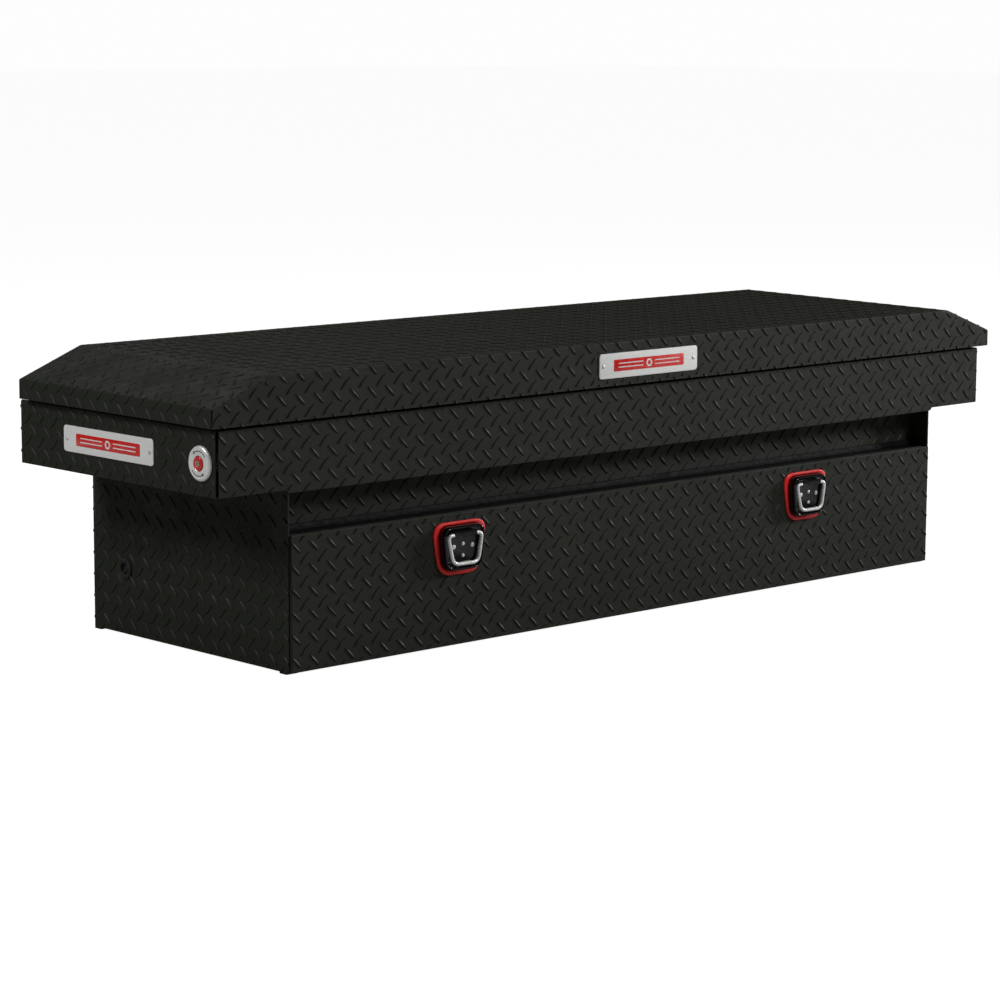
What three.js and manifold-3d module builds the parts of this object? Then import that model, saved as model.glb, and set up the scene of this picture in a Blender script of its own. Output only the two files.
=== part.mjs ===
// Crossover tool box for a pickup truck: a shallow tray with a wing at each end that rests on the
// bed rails, a narrower lower body between the wings, a hinged lid with sloped ends, and a
// full-width drop-down door in the lower body. Millimetres. X runs along the length, the door
// faces -Y and Z is up.
import * as THREE from "three";
import { mergeVertices } from "three/addons/utils/BufferGeometryUtils.js";
import Module from "manifold-3d";

const wasm = await Module();
wasm.setup();

// ---- Driving dimensions ----
const SHEET = 2.5; // thickness of the body and lid sheet
const GAP = 0.3; // fitting gap between neighbouring pieces
const CUT = 1; // how far a cutter runs past the face it cuts

// The lid, from its skirt to its flat top. It rises a little towards the rear.
const LID = {
  halfLength: 908,
  frontY: -257,
  rearY: 240,
  skirtZ: 392,
  creaseZ: 421.5,
  topZ: 464.5,
  slopeInset: 118,
  rearRise: 0.07,
  innerPanZ: 400,
  innerPanThickness: 2,
};

// The tray, whose end wings carry the box on the bed rails.
const TRAY = {
  halfLength: 894,
  frontY: -248,
  rearY: 257,
  floorZ: 286.5,
  rimZ: 388,
  rearRimZ: 385.7,
  rimWidth: 25,
  frontDrop: 5,
  frontSetback: 1.5, // of the front panel's ends from the end panels
  endSetback: 2, // of the end panels' front edges from the front panel
  endFlangeStop: 37.5, // of the end panels' rims from the rear panel
};

// The lower body between the wings.
const BODY = {
  halfLength: 757,
  frontY: -244.5,
  rearY: 256.5,
  bottomZ: 3,
  neckY: -204.5,
  footLength: 17,
  footWidth: 22,
  frontFootY: -239,
};

// The frame that the door closes against, with the shelf above the door.
const FRAME = {
  frontY: -240,
  bottomZ: 5.8,
  shelfZ: 215.5,
  openingHalfLength: 725,
  openingBottomZ: 32,
  openingTopZ: 192,
};

const DOOR = {
  halfLength: 754.5,
  frontY: -248.5,
  bottomZ: 3,
  topZ: 215.5,
  panHalfLength: 718,
  panBottomZ: 38,
  panTopZ: 186,
  panBackY: -216,
  hingeY: -243,
  hingeZ: 5.8,
  barrelRadius: 2.6,
  boreRadius: 1.5,
  pinRadius: 1.2,
  leafThickness: 1,
  leafTopZ: 14,
  hingeHalfLength: 715,
  knuckles: 9,
};

const HINGE = {
  y: 248,
  z: 392.3,
  halfLength: 860,
  barrelRadius: 5.5,
  boreRadius: 2.9,
  pinRadius: 2.5,
  leafThickness: 2,
  lidLeafTopZ: 430,
  trayLeafFrontY: 222,
  knuckles: 11,
};

// The bail latches in the door. The outlines are rounded trapezoids, wider at the top.
const LATCH = {
  x: 412,
  gasket: { top: 59.5, bottom: 43.5, lowZ: 116.7, highZ: 202.6, radius: 22, thickness: 3.2 },
  housing: { top: 46, bottom: 38.5, lowZ: 125, highZ: 197, radius: 14, proud: 16.5 },
  rim: 4,
  dishDepth: 6,
  bailTop: 36.4,
  bailBottom: 26.6,
  bailWire: 3,
  bailInnerEnd: 24.5,
  pivotZ: 183,
  bailBottomZ: 136.5,
  bailY: -264,
  bailLean: 2,
  barRadius: 3.2,
  barHalfLength: 24,
  lugWidth: 4,
  lugInset: 5,
  lugHalfHeight: 3,
  boltHalfWidth: 15,
  boltFrontY: -236.5,
  boltBackY: -226.5,
  boltBottomZ: 150,
  boltTopZ: 190.5,
};

// The push-button lock in each end of the tray.
const LOCK = {
  y: -210.5,
  z: 335.8,
  escutcheonRadius: 27,
  escutcheonProud: 5.5,
  sleeveRadius: 19,
  sleeveEndX: 874,
  boreRadius: 11.5,
  buttonRadius: 10.8,
  buttonProud: 7.5,
  buttonLength: 22,
  stemRadius: 4,
  stemEndX: 868.5,
  plugRadius: 5,
  plugProud: 0.7,
  plugLength: 17,
};

// The rotary latch behind each lock, and the striker on the lid that it holds.
const CATCH = {
  outerX: 866,
  innerX: 843,
  plate: 2,
  frontY: -232,
  backY: -184,
  bottomZ: 298,
  topZ: 384,
  pivotY: -198,
  pivotZ: 340,
  pinRadius: 4,
  hookOuterX: 858,
  hookInnerX: 852,
  hubRadius: 9,
  hubBore: 4.4,
  barY: -210,
  barZ: 376.5,
  barRadius: 3.5,
  legOuterX: 862,
  legInnerX: 847,
};

// The gas struts that carry the lid, one inside each end of the tray.
const STRUT = {
  x: 855,
  baseY: 220,
  baseZ: 305,
  lidY: 0,
  lidZ: 384,
  eyeRadius: 8,
  eyeWidth: 13,
  studRadius: 4,
  boreRadius: 4.4,
  cylinderRadius: 9,
  cylinderStart: 14,
  cylinderEnd: 150,
  cylinderBore: 4.7,
  boreStart: 36,
  rodRadius: 4,
  rodStart: 42,
  bracketOuterX: 872,
  bracketInnerX: 869,
  lidBracketOuterX: 864.5,
  lidBracketInnerX: 862.5,
};

const GROMMET = { y: 170.5, z: 110, flange: 18, neck: 13, hole: 13.5, lip: 16, dish: 9 };

const NAMEPLATE = {
  length: 232,
  height: 41.5,
  thickness: 1.5,
  radius: 6,
  endY: 22,
  endZ: 339.2,
  lidX: 6,
  lidZ: 425.7,
};

const ROUND = 28; // sides of a large round shape
const SMALL_ROUND = 16; // sides of a small round shape

// ---- Materials ----
function finish(color, roughness, metalness) {
  return { color, roughness, metalness };
}
const TREAD_PAINT = finish(0x23241f, 0.55, 0.3);
const FRAME_PAINT = finish(0x161614, 0.5, 0.3);
const RUBBER = finish(0x0c0c0c, 0.85, 0);
const ZINC = finish(0x8d9094, 0.4, 0.9);
const CHROME = finish(0xdadcde, 0.12, 1);
const RED_RUBBER = finish(0xd8221c, 0.5, 0);
const RED_PLASTIC = finish(0xd82020, 0.35, 0);
const GLOSS_BLACK = finish(0x0a0a0a, 0.2, 0.1);
const PLATE_METAL = finish(0xc9c9c6, 0.35, 0.8);

// ---- Solids ----
// A closed geometry as a solid that can be cut and joined.
function solid(geometry) {
  const bare = geometry.clone();
  bare.deleteAttribute("normal");
  bare.deleteAttribute("uv");
  const merged = mergeVertices(bare, 1e-4);
  return new wasm.Manifold(
    new wasm.Mesh({
      numProp: 3,
      vertProperties: merged.attributes.position.array,
      triVerts: new Uint32Array(merged.index.array),
    }),
  );
}

function geometryOf(made) {
  const mesh = made.getMesh();
  const geometry = new THREE.BufferGeometry();
  geometry.setAttribute("position", new THREE.BufferAttribute(mesh.vertProperties, 3));
  geometry.setIndex(new THREE.BufferAttribute(mesh.triVerts, 1));
  geometry.computeVertexNormals();
  return geometry;
}

function joined(...geometries) {
  const solids = geometries.map(solid);
  return geometryOf(solids.reduce((whole, piece) => whole.add(piece)));
}

function cut(geometry, ...cutters) {
  const body = solid(geometry);
  return geometryOf(cutters.map(solid).reduce((whole, piece) => whole.subtract(piece), body));
}

// A box between two corners, whichever way round they are given.
function block(x0, x1, y0, y1, z0, z1) {
  const box = new THREE.BoxGeometry(Math.abs(x1 - x0), Math.abs(y1 - y0), Math.abs(z1 - z0));
  return box.translate((x0 + x1) / 2, (y0 + y1) / 2, (z0 + z1) / 2);
}

function outlineShape(points, holes = []) {
  const shape = new THREE.Shape(points.map(([a, b]) => new THREE.Vector2(a, b)));
  for (const hole of holes) shape.holes.push(hole);
  return shape;
}

function extruded(shape, depth, curveSegments = 4) {
  return new THREE.ExtrudeGeometry(shape, { depth, bevelEnabled: false, curveSegments });
}

const X_AXIS = new THREE.Vector3(1, 0, 0);
const Y_AXIS = new THREE.Vector3(0, 1, 0);
const Z_AXIS = new THREE.Vector3(0, 0, 1);
const BACKWARD = new THREE.Vector3(0, -1, 0);

// An outline drawn in X and Z, standing between two Y planes.
function standingX(shape, y0, y1, curveSegments) {
  const geometry = extruded(shape, Math.abs(y1 - y0), curveSegments);
  geometry.applyMatrix4(new THREE.Matrix4().makeBasis(X_AXIS, Z_AXIS, BACKWARD));
  return geometry.translate(0, Math.max(y0, y1), 0);
}

// An outline drawn in Y and Z, standing between two X planes.
function standingY(shape, x0, x1, curveSegments) {
  const geometry = extruded(shape, Math.abs(x1 - x0), curveSegments);
  geometry.applyMatrix4(new THREE.Matrix4().makeBasis(Y_AXIS, Z_AXIS, X_AXIS));
  return geometry.translate(Math.min(x0, x1), 0, 0);
}

// A round bar along X between two planes.
function barX(radius, x0, x1, y, z, sides = SMALL_ROUND) {
  const bar = new THREE.CylinderGeometry(radius, radius, Math.abs(x1 - x0), sides);
  return bar.rotateZ(Math.PI / 2).translate((x0 + x1) / 2, y, z);
}

// A turned piece about an axis along X. Its profile holds pairs of radius and distance outwards
// from the middle of the box, and side is -1 for the left end.
function turnedX(profile, side, y, z, sides = ROUND) {
  const points = profile.map(([radius, out]) => new THREE.Vector2(radius, out));
  const lathe = new THREE.LatheGeometry(points, sides);
  return lathe.rotateZ(-side * (Math.PI / 2)).translate(0, y, z);
}

// A trapezoid with rounded corners, centred on x, as a shape or a hole.
function trapezoid(x, { top, bottom, lowZ, highZ, radius }, inset = 0, Kind = THREE.Shape) {
  const corners = [
    [x - bottom + inset, lowZ + inset],
    [x + bottom - inset, lowZ + inset],
    [x + top - inset, highZ - inset],
    [x - top + inset, highZ - inset],
  ].map(([a, b]) => new THREE.Vector2(a, b));
  const round = Math.max(radius - inset, 2);
  const path = new Kind();
  corners.forEach((corner, i) => {
    const before = corners[(i + 3) % 4];
    const after = corners[(i + 1) % 4];
    const start = corner.clone().add(before.clone().sub(corner).setLength(round));
    const end = corner.clone().add(after.clone().sub(corner).setLength(round));
    if (i === 0) path.moveTo(start.x, start.y);
    else path.lineTo(start.x, start.y);
    path.quadraticCurveTo(corner.x, corner.y, end.x, end.y);
  });
  path.closePath();
  return path;
}

function rectangleHole(x0, x1, y0, y1) {
  const hole = new THREE.Path();
  hole.moveTo(x0, y0);
  hole.lineTo(x1, y0);
  hole.lineTo(x1, y1);
  hole.lineTo(x0, y1);
  hole.closePath();
  return hole;
}

// ---- The assembly ----
const toolBox = new THREE.Group();
toolBox.name = "crossover_tool_box";

function addPart(name, geometry, look) {
  const mesh = new THREE.Mesh(geometry, new THREE.MeshStandardMaterial(look));
  mesh.name = name;
  toolBox.add(mesh);
}

const ENDS = [
  { side: -1, end: "left" },
  { side: 1, end: "right" },
];

// ---- Lower body ----
// A side panel stands on two foot pads folded in from its bottom edge. Its top edge rises past
// the wing's floor between the tray's front and rear panels.
function lowerSidePanel(side) {
  const { halfLength, frontY, rearY, bottomZ, footLength, footWidth, frontFootY } = BODY;
  const outer = side * halfLength;
  const inner = side * (halfLength - SHEET);
  const top = TRAY.floorZ - GAP;
  const raisedRear = TRAY.rearY - SHEET - GAP;
  let panel = joined(
    block(outer, inner, frontY, rearY, bottomZ, top),
    block(outer, inner, frontY, raisedRear, top - CUT, TRAY.floorZ + SHEET),
  );
  if (side < 0) panel = cut(panel, grommetHole());
  const footInner = side * (halfLength - footWidth);
  const feet = [
    [frontFootY, frontFootY + footLength],
    [rearY - footLength, rearY],
  ].map(([y0, y1]) => {
    const pad = block(outer, footInner, y0, y1, 0, bottomZ - GAP);
    return joined(pad, block(outer, inner, y0, y1, 0, bottomZ + SHEET));
  });
  return joined(panel, ...feet);
}

function grommetHole() {
  const { y, z, hole } = GROMMET;
  return barX(hole, -BODY.halfLength - CUT, -BODY.halfLength + SHEET + CUT, y, z, ROUND);
}

// A blind rubber plug: a flange outside, a neck through the side panel and a lip inside.
function cableGrommet() {
  const { y, z, flange, neck, lip, dish } = GROMMET;
  const face = BODY.halfLength + GAP;
  const back = BODY.halfLength - SHEET - GAP;
  const profile = [
    [0, back - 2],
    [lip, back - 2],
    [lip, back],
    [neck, back],
    [neck, face],
    [flange, face],
    [flange - 0.5, face + 2.4],
    [flange - 2.5, face + 3.4],
    [dish + 2, face + 3.4],
    [dish, face + 2.4],
    [dish, face - 3],
    [0, face - 3],
  ];
  return turnedX(profile, -1, y, z, ROUND);
}

const insideHalfLength = BODY.halfLength - SHEET - GAP;

for (const { side, end } of ENDS) {
  addPart(`lower_${end}_side`, lowerSidePanel(side), TREAD_PAINT);
}
addPart("cable_grommet", cableGrommet(), RUBBER);
addPart(
  "lower_rear_panel",
  block(
    -insideHalfLength,
    insideHalfLength,
    BODY.rearY - SHEET,
    BODY.rearY,
    BODY.bottomZ,
    TRAY.floorZ - GAP,
  ),
  TREAD_PAINT,
);
addPart(
  "floor_pan",
  block(
    -insideHalfLength,
    insideHalfLength,
    FRAME.frontY + SHEET + 2 * GAP,
    BODY.rearY - SHEET - GAP,
    BODY.bottomZ,
    BODY.bottomZ + SHEET,
  ),
  TREAD_PAINT,
);
addPart(
  "neck_front_panel",
  block(
    -insideHalfLength,
    insideHalfLength,
    BODY.neckY,
    BODY.neckY + SHEET,
    FRAME.shelfZ + GAP,
    TRAY.floorZ - GAP,
  ),
  TREAD_PAINT,
);

// A flat ring round the doorway, with the shelf that closes the recess above the door.
function doorFrame() {
  const { frontY, bottomZ, shelfZ, openingHalfLength, openingBottomZ, openingTopZ } = FRAME;
  const ring = outlineShape(
    [
      [-insideHalfLength, bottomZ],
      [insideHalfLength, bottomZ],
      [insideHalfLength, shelfZ],
      [-insideHalfLength, shelfZ],
    ],
    [rectangleHole(-openingHalfLength, openingHalfLength, openingBottomZ, openingTopZ)],
  );
  const shelf = block(
    -insideHalfLength,
    insideHalfLength,
    frontY,
    BODY.neckY + SHEET,
    shelfZ - SHEET,
    shelfZ,
  );
  return joined(standingX(ring, frontY, frontY + SHEET), shelf);
}
addPart("door_frame", doorFrame(), FRAME_PAINT);

// A rubber ring between the door and its frame.
function doorSeal() {
  const { openingHalfLength, openingBottomZ, openingTopZ, frontY } = FRAME;
  const inner = { side: 7, low: 6, high: 1 };
  const width = 10;
  const halfLength = openingHalfLength + inner.side;
  const low = openingBottomZ - inner.low;
  const high = openingTopZ + inner.high;
  const ring = outlineShape(
    [
      [-halfLength - width, low - width],
      [halfLength + width, low - width],
      [halfLength + width, high + width],
      [-halfLength - width, high + width],
    ],
    [rectangleHole(-halfLength, halfLength, low, high)],
  );
  return standingX(ring, DOOR.frontY + SHEET + GAP, frontY - GAP);
}
addPart("door_seal", doorSeal(), RUBBER);

// ---- Tray ----
// The front panel hangs a little lower between the wings, with a 45 degree step at each.
function trayFrontPanel() {
  const { halfLength, frontY, floorZ, rimZ, rimWidth, frontDrop, frontSetback } = TRAY;
  const end = halfLength - SHEET - GAP - frontSetback;
  const step = BODY.halfLength;
  const low = floorZ - frontDrop;
  const web = outlineShape([
    [-end, floorZ],
    [-step - frontDrop, floorZ],
    [-step, low],
    [step, low],
    [step + frontDrop, floorZ],
    [end, floorZ],
    [end, rimZ],
    [-end, rimZ],
  ]);
  const flangeEnd = halfLength - SHEET - rimWidth - 2 * GAP;
  const flange = block(
    -flangeEnd,
    flangeEnd,
    frontY + SHEET - CUT,
    frontY + SHEET + rimWidth,
    rimZ - SHEET,
    rimZ,
  );
  return joined(standingX(web, frontY, frontY + SHEET), flange);
}

function trayRearPanel() {
  const { halfLength, rearY, floorZ, rearRimZ, rimWidth } = TRAY;
  const end = halfLength - SHEET - GAP;
  const web = block(-end, end, rearY - SHEET, rearY, floorZ, rearRimZ);
  const flangeEnd = end - rimWidth;
  const flange = block(
    -flangeEnd,
    flangeEnd,
    rearY - SHEET - rimWidth - 2 * GAP,
    rearY - SHEET + CUT,
    rearRimZ - SHEET,
    rearRimZ,
  );
  return joined(web, flange);
}

function trayEndPanel(side) {
  const { halfLength, frontY, rearY, floorZ, rimZ, rimWidth, endSetback } = TRAY;
  const front = frontY + SHEET + endSetback;
  const outer = side * halfLength;
  const inner = side * (halfLength - SHEET);
  const web = block(outer, inner, front, rearY, floorZ, rimZ);
  const flange = block(
    side * (halfLength - CUT),
    side * (halfLength - SHEET - rimWidth),
    front,
    rearY - TRAY.endFlangeStop,
    rimZ - SHEET,
    rimZ,
  );
  const lockHole = barX(
    LOCK.sleeveRadius + 0.5,
    outer + side * CUT,
    inner - side * CUT,
    LOCK.y,
    LOCK.z,
    ROUND,
  );
  return cut(joined(web, flange), lockHole);
}

addPart("tray_front_panel", trayFrontPanel(), TREAD_PAINT);
addPart("tray_rear_panel", trayRearPanel(), TREAD_PAINT);
for (const { side, end } of ENDS) {
  addPart(`tray_${end}_end`, trayEndPanel(side), TREAD_PAINT);
  addPart(
    `wing_floor_${end}`,
    block(
      side * (TRAY.halfLength - SHEET - GAP),
      side * (BODY.halfLength + GAP),
      TRAY.frontY + SHEET + GAP,
      TRAY.rearY - SHEET - GAP,
      TRAY.floorZ,
      TRAY.floorZ + SHEET,
    ),
    TREAD_PAINT,
  );
}
addPart(
  "front_ledge",
  block(
    -insideHalfLength + GAP,
    insideHalfLength - GAP,
    TRAY.frontY + SHEET + GAP,
    BODY.neckY + SHEET,
    TRAY.floorZ,
    TRAY.floorZ + SHEET,
  ),
  TREAD_PAINT,
);

// The weather seal on the tray's rim, which the lid's inner pan presses on.
function rimSeal() {
  const outer = { x: 884, front: -238, rear: 234 };
  const width = 10;
  const ring = outlineShape(
    [
      [-outer.x, outer.front],
      [outer.x, outer.front],
      [outer.x, outer.rear],
      [-outer.x, outer.rear],
    ],
    [
      rectangleHole(
        -outer.x + width,
        outer.x - width,
        outer.front + width,
        outer.rear - width,
      ),
    ],
  );
  const low = TRAY.rimZ + GAP;
  return extruded(ring, LID.innerPanZ - GAP - low).translate(0, 0, low);
}
addPart("rim_seal", rimSeal(), RUBBER);

// ---- Lid ----
const slopeRatio = (LID.topZ - LID.creaseZ) / LID.slopeInset;

// The lid's height grows evenly from its front edge to its rear edge.
function raisedTowardsRear(geometry) {
  const places = geometry.attributes.position;
  for (let i = 0; i < places.count; i += 1) {
    const along = (places.getY(i) - LID.frontY) / (LID.rearY - LID.frontY);
    const above = places.getZ(i) - LID.skirtZ;
    places.setZ(i, LID.skirtZ + above * (1 + LID.rearRise * along));
  }
  return geometry;
}

function lidOutline() {
  const { halfLength, slopeInset, skirtZ, creaseZ, topZ } = LID;
  return [
    [-halfLength, skirtZ],
    [-halfLength, creaseZ],
    [-halfLength + slopeInset, topZ],
    [halfLength - slopeInset, topZ],
    [halfLength, creaseZ],
    [halfLength, skirtZ],
  ];
}

// Flat top, end slopes and end skirts, bent from one sheet.
function lidShell() {
  const { halfLength, skirtZ, creaseZ, topZ, frontY, rearY } = LID;
  const slopeDrop = SHEET * Math.hypot(1, slopeRatio);
  const insideX = halfLength - SHEET;
  const insideCrease = creaseZ + SHEET * slopeRatio - slopeDrop;
  const insideTop = topZ - SHEET;
  const insideTopX = halfLength - (insideTop - creaseZ + slopeDrop) / slopeRatio;
  const inside = [
    [insideX, skirtZ],
    [insideX, insideCrease],
    [insideTopX, insideTop],
    [-insideTopX, insideTop],
    [-insideX, insideCrease],
    [-insideX, skirtZ],
  ];
  const profile = outlineShape([...lidOutline(), ...inside]);
  const shell = standingX(profile, frontY + SHEET + GAP, rearY - SHEET - GAP);
  return raisedTowardsRear(shell);
}

function lidFacePanel(y0, y1) {
  return raisedTowardsRear(standingX(outlineShape(lidOutline().reverse()), y0, y1));
}

// A hat-section beam between the lid's skin and its inner pan.
function lidStiffener() {
  const halfWidth = 30;
  const wall = 2;
  const bottom = LID.innerPanZ + LID.innerPanThickness + GAP;
  const top = LID.topZ - SHEET - 1;
  const hat = outlineShape([
    [-halfWidth, bottom],
    [-halfWidth + wall, bottom],
    [-halfWidth + wall, top - wall],
    [halfWidth - wall, top - wall],
    [halfWidth - wall, bottom],
    [halfWidth, bottom],
    [halfWidth, top],
    [-halfWidth, top],
  ]);
  const endClearance = 10;
  const reach = LID.halfLength - LID.slopeInset - endClearance;
  return standingY(hat, -reach, reach);
}

addPart("lid_shell", lidShell(), TREAD_PAINT);
addPart("lid_front_panel", lidFacePanel(LID.frontY, LID.frontY + SHEET), TREAD_PAINT);
addPart("lid_rear_panel", lidFacePanel(LID.rearY - SHEET, LID.rearY), TREAD_PAINT);
const panClearance = { end: 1.5, face: 1 };
addPart(
  "lid_inner_pan",
  block(
    -LID.halfLength + SHEET + panClearance.end,
    LID.halfLength - SHEET - panClearance.end,
    LID.frontY + SHEET + panClearance.face,
    LID.rearY - SHEET - panClearance.face,
    LID.innerPanZ,
    LID.innerPanZ + LID.innerPanThickness,
  ),
  TREAD_PAINT,
);
addPart("lid_stiffener", lidStiffener(), FRAME_PAINT);

// ---- Hinges ----
// One leaf of a long hinge: a plate with knuckles at every other place along the barrel.
function hingeLeaf({ y, z, halfLength, barrelRadius, boreRadius, knuckles }, first, plate, web) {
  const pitch = (2 * halfLength) / knuckles;
  const pieces = [plate];
  for (let i = first; i < knuckles; i += 2) {
    const start = -halfLength + i * pitch + GAP;
    const end = start + pitch - 2 * GAP;
    pieces.push(barX(barrelRadius, start, end, y, z), web(start, end));
  }
  const bore = barX(boreRadius, -halfLength - CUT, halfLength + CUT, y, z);
  return cut(joined(...pieces), bore);
}

function trayHingeLeaf() {
  const { y, z, halfLength, barrelRadius, leafThickness, trayLeafFrontY } = HINGE;
  const low = TRAY.rearRimZ + GAP;
  const high = low + leafThickness;
  const plateEnd = y - barrelRadius - 1;
  const plate = block(-halfLength, halfLength, trayLeafFrontY, plateEnd, low, high);
  const web = (start, end) => block(start, end, plateEnd - CUT, y, low, high);
  return hingeLeaf(HINGE, 0, plate, web);
}

function lidHingeLeaf() {
  const { y, z, halfLength, barrelRadius, leafThickness, lidLeafTopZ } = HINGE;
  const front = LID.rearY + GAP;
  const back = front + leafThickness + GAP;
  const plateLow = z + barrelRadius + 1;
  const plate = block(-halfLength, halfLength, front, back, plateLow, lidLeafTopZ);
  const web = (start, end) => block(start, end, front, y - barrelRadius + CUT, z, plateLow + CUT);
  return hingeLeaf(HINGE, 1, plate, web);
}

addPart("hinge_leaf_tray", trayHingeLeaf(), ZINC);
addPart("hinge_leaf_lid", lidHingeLeaf(), ZINC);
addPart(
  "lid_hinge_pin",
  barX(HINGE.pinRadius, -HINGE.halfLength, HINGE.halfLength, HINGE.y, HINGE.z, 12),
  ZINC,
);

const doorHinge = {
  y: DOOR.hingeY,
  z: DOOR.hingeZ,
  halfLength: DOOR.hingeHalfLength,
  barrelRadius: DOOR.barrelRadius,
  boreRadius: DOOR.boreRadius,
  knuckles: DOOR.knuckles,
};

// A leaf of the door hinge stands in the narrow space between the door and its frame.
function doorHingeLeaf(first, y0, y1) {
  const { y, z, halfLength, barrelRadius } = doorHinge;
  const low = z + barrelRadius + GAP;
  const plate = block(-halfLength, halfLength, y0, y1, low, DOOR.leafTopZ);
  const nearest = Math.abs(y0 - y) < Math.abs(y1 - y) ? y0 : y1;
  const farthest = nearest === y0 ? y1 : y0;
  const webShare = 0.4;
  const reach = y + (farthest - y) * webShare;
  const web = (start, end) => block(start, end, reach, farthest, z, low + GAP);
  return hingeLeaf(doorHinge, first, plate, web);
}

const doorBackY = DOOR.frontY + SHEET;
addPart(
  "door_hinge_leaf",
  doorHingeLeaf(1, doorBackY + GAP, doorBackY + GAP + DOOR.leafThickness),
  ZINC,
);
addPart(
  "frame_hinge_leaf",
  doorHingeLeaf(0, FRAME.frontY - GAP - DOOR.leafThickness, FRAME.frontY - GAP),
  ZINC,
);
addPart(
  "door_hinge_pin",
  barX(DOOR.pinRadius, -DOOR.hingeHalfLength, DOOR.hingeHalfLength, DOOR.hingeY, DOOR.hingeZ, 10),
  ZINC,
);

// ---- Door ----
// The inner pan stiffens the door and covers the latches. Its top has a slot for each bolt.
function doorInnerPan() {
  const { panHalfLength, panBottomZ, panTopZ, panBackY } = DOOR;
  const front = doorBackY + GAP;
  const outside = block(-panHalfLength, panHalfLength, front, panBackY, panBottomZ, panTopZ);
  const inside = block(
    -panHalfLength + SHEET,
    panHalfLength - SHEET,
    front - CUT,
    panBackY - SHEET,
    panBottomZ + SHEET,
    panTopZ - SHEET,
  );
  const slots = ENDS.map(({ side }) =>
    block(
      side * LATCH.x - LATCH.boltHalfWidth - 1,
      side * LATCH.x + LATCH.boltHalfWidth + 1,
      LATCH.boltFrontY - 1,
      LATCH.boltBackY + 1,
      panTopZ - SHEET - CUT,
      panTopZ + CUT,
    ),
  );
  return cut(outside, inside, ...slots);
}

// The latch housing is a dish, with a short bar across its top between the ends of the bail.
function latchHousing(x) {
  const { housing, rim, dishDepth, pivotZ, bailY, barRadius, barHalfLength, lugWidth } = LATCH;
  const back = DOOR.frontY - GAP;
  const face = DOOR.frontY - housing.proud;
  const dishFloor = face + dishDepth;
  const whole = standingX(trapezoid(x, housing), face, back, 4);
  const dish = standingX(trapezoid(x, housing, rim), face - CUT, dishFloor, 4);
  const bar = barX(barRadius, x - barHalfLength, x + barHalfLength, bailY, pivotZ);
  const lugs = ENDS.map(({ side }) => {
    const outer = x + side * (barHalfLength - LATCH.lugInset);
    return block(
      outer,
      outer - side * lugWidth,
      bailY,
      dishFloor + CUT,
      pivotZ - LATCH.lugHalfHeight,
      pivotZ + LATCH.lugHalfHeight,
    );
  });
  return joined(cut(whole, dish), bar, ...lugs);
}

function latchGasket(x) {
  const { gasket, housing } = LATCH;
  const back = DOOR.frontY - GAP;
  const shape = trapezoid(x, gasket);
  shape.holes.push(trapezoid(x, housing, -GAP, THREE.Path));
  return standingX(shape, back - gasket.thickness, back, 4);
}

// A wire loop hanging from the housing's bar, its foot leaning out a little for the fingers.
// Its two ends turn in along the pivot axis.
function bail(x) {
  const { bailTop, bailBottom, bailWire, bailInnerEnd, pivotZ, bailBottomZ, bailY } = LATCH;
  const bend = 12;
  const corner = (across, z) =>
    new THREE.Vector3(x + across, z === pivotZ ? bailY : bailY - LATCH.bailLean, z);
  const corners = [
    corner(-bailInnerEnd, pivotZ),
    corner(-bailTop, pivotZ),
    corner(-bailBottom, bailBottomZ),
    corner(bailBottom, bailBottomZ),
    corner(bailTop, pivotZ),
    corner(bailInnerEnd, pivotZ),
  ];
  const path = new THREE.CurvePath();
  let last = corners[0];
  for (let i = 1; i < corners.length - 1; i += 1) {
    const at = corners[i];
    const sharp = i === 1 || i === corners.length - 2;
    const round = sharp ? (bailTop - bailInnerEnd) * 0.8 : bend;
    const start = at.clone().add(corners[i - 1].clone().sub(at).setLength(round));
    const end = at.clone().add(corners[i + 1].clone().sub(at).setLength(round));
    path.add(new THREE.LineCurve3(last, start));
    path.add(new THREE.QuadraticBezierCurve3(start, at, end));
    last = end;
  }
  path.add(new THREE.LineCurve3(last, corners[corners.length - 1]));
  const wire = new THREE.Shape().absarc(0, 0, bailWire, 0, 2 * Math.PI);
  return new THREE.ExtrudeGeometry(wire, {
    extrudePath: path,
    steps: 56,
    curveSegments: 5,
    bevelEnabled: false,
  });
}

function slamBolt(x) {
  const { boltHalfWidth, boltFrontY, boltBackY, boltBottomZ, boltTopZ } = LATCH;
  const bevel = 5;
  const side = outlineShape([
    [boltFrontY, boltBottomZ],
    [boltBackY, boltBottomZ],
    [boltBackY, boltTopZ - bevel],
    [boltBackY - bevel, boltTopZ],
    [boltFrontY, boltTopZ],
  ]);
  return standingY(side, x - boltHalfWidth, x + boltHalfWidth);
}

addPart(
  "door_panel",
  block(-DOOR.halfLength, DOOR.halfLength, DOOR.frontY, doorBackY, DOOR.bottomZ, DOOR.topZ),
  TREAD_PAINT,
);
addPart("door_inner_pan", doorInnerPan(), FRAME_PAINT);
for (const { side, end } of ENDS) {
  const x = side * LATCH.x;
  addPart(`latch_gasket_${end}`, latchGasket(x), RED_RUBBER);
  addPart(`latch_housing_${end}`, latchHousing(x), GLOSS_BLACK);
  addPart(`latch_bail_${end}`, bail(x), CHROME);
  addPart(`slam_bolt_${end}`, slamBolt(x), ZINC);
}

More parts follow.
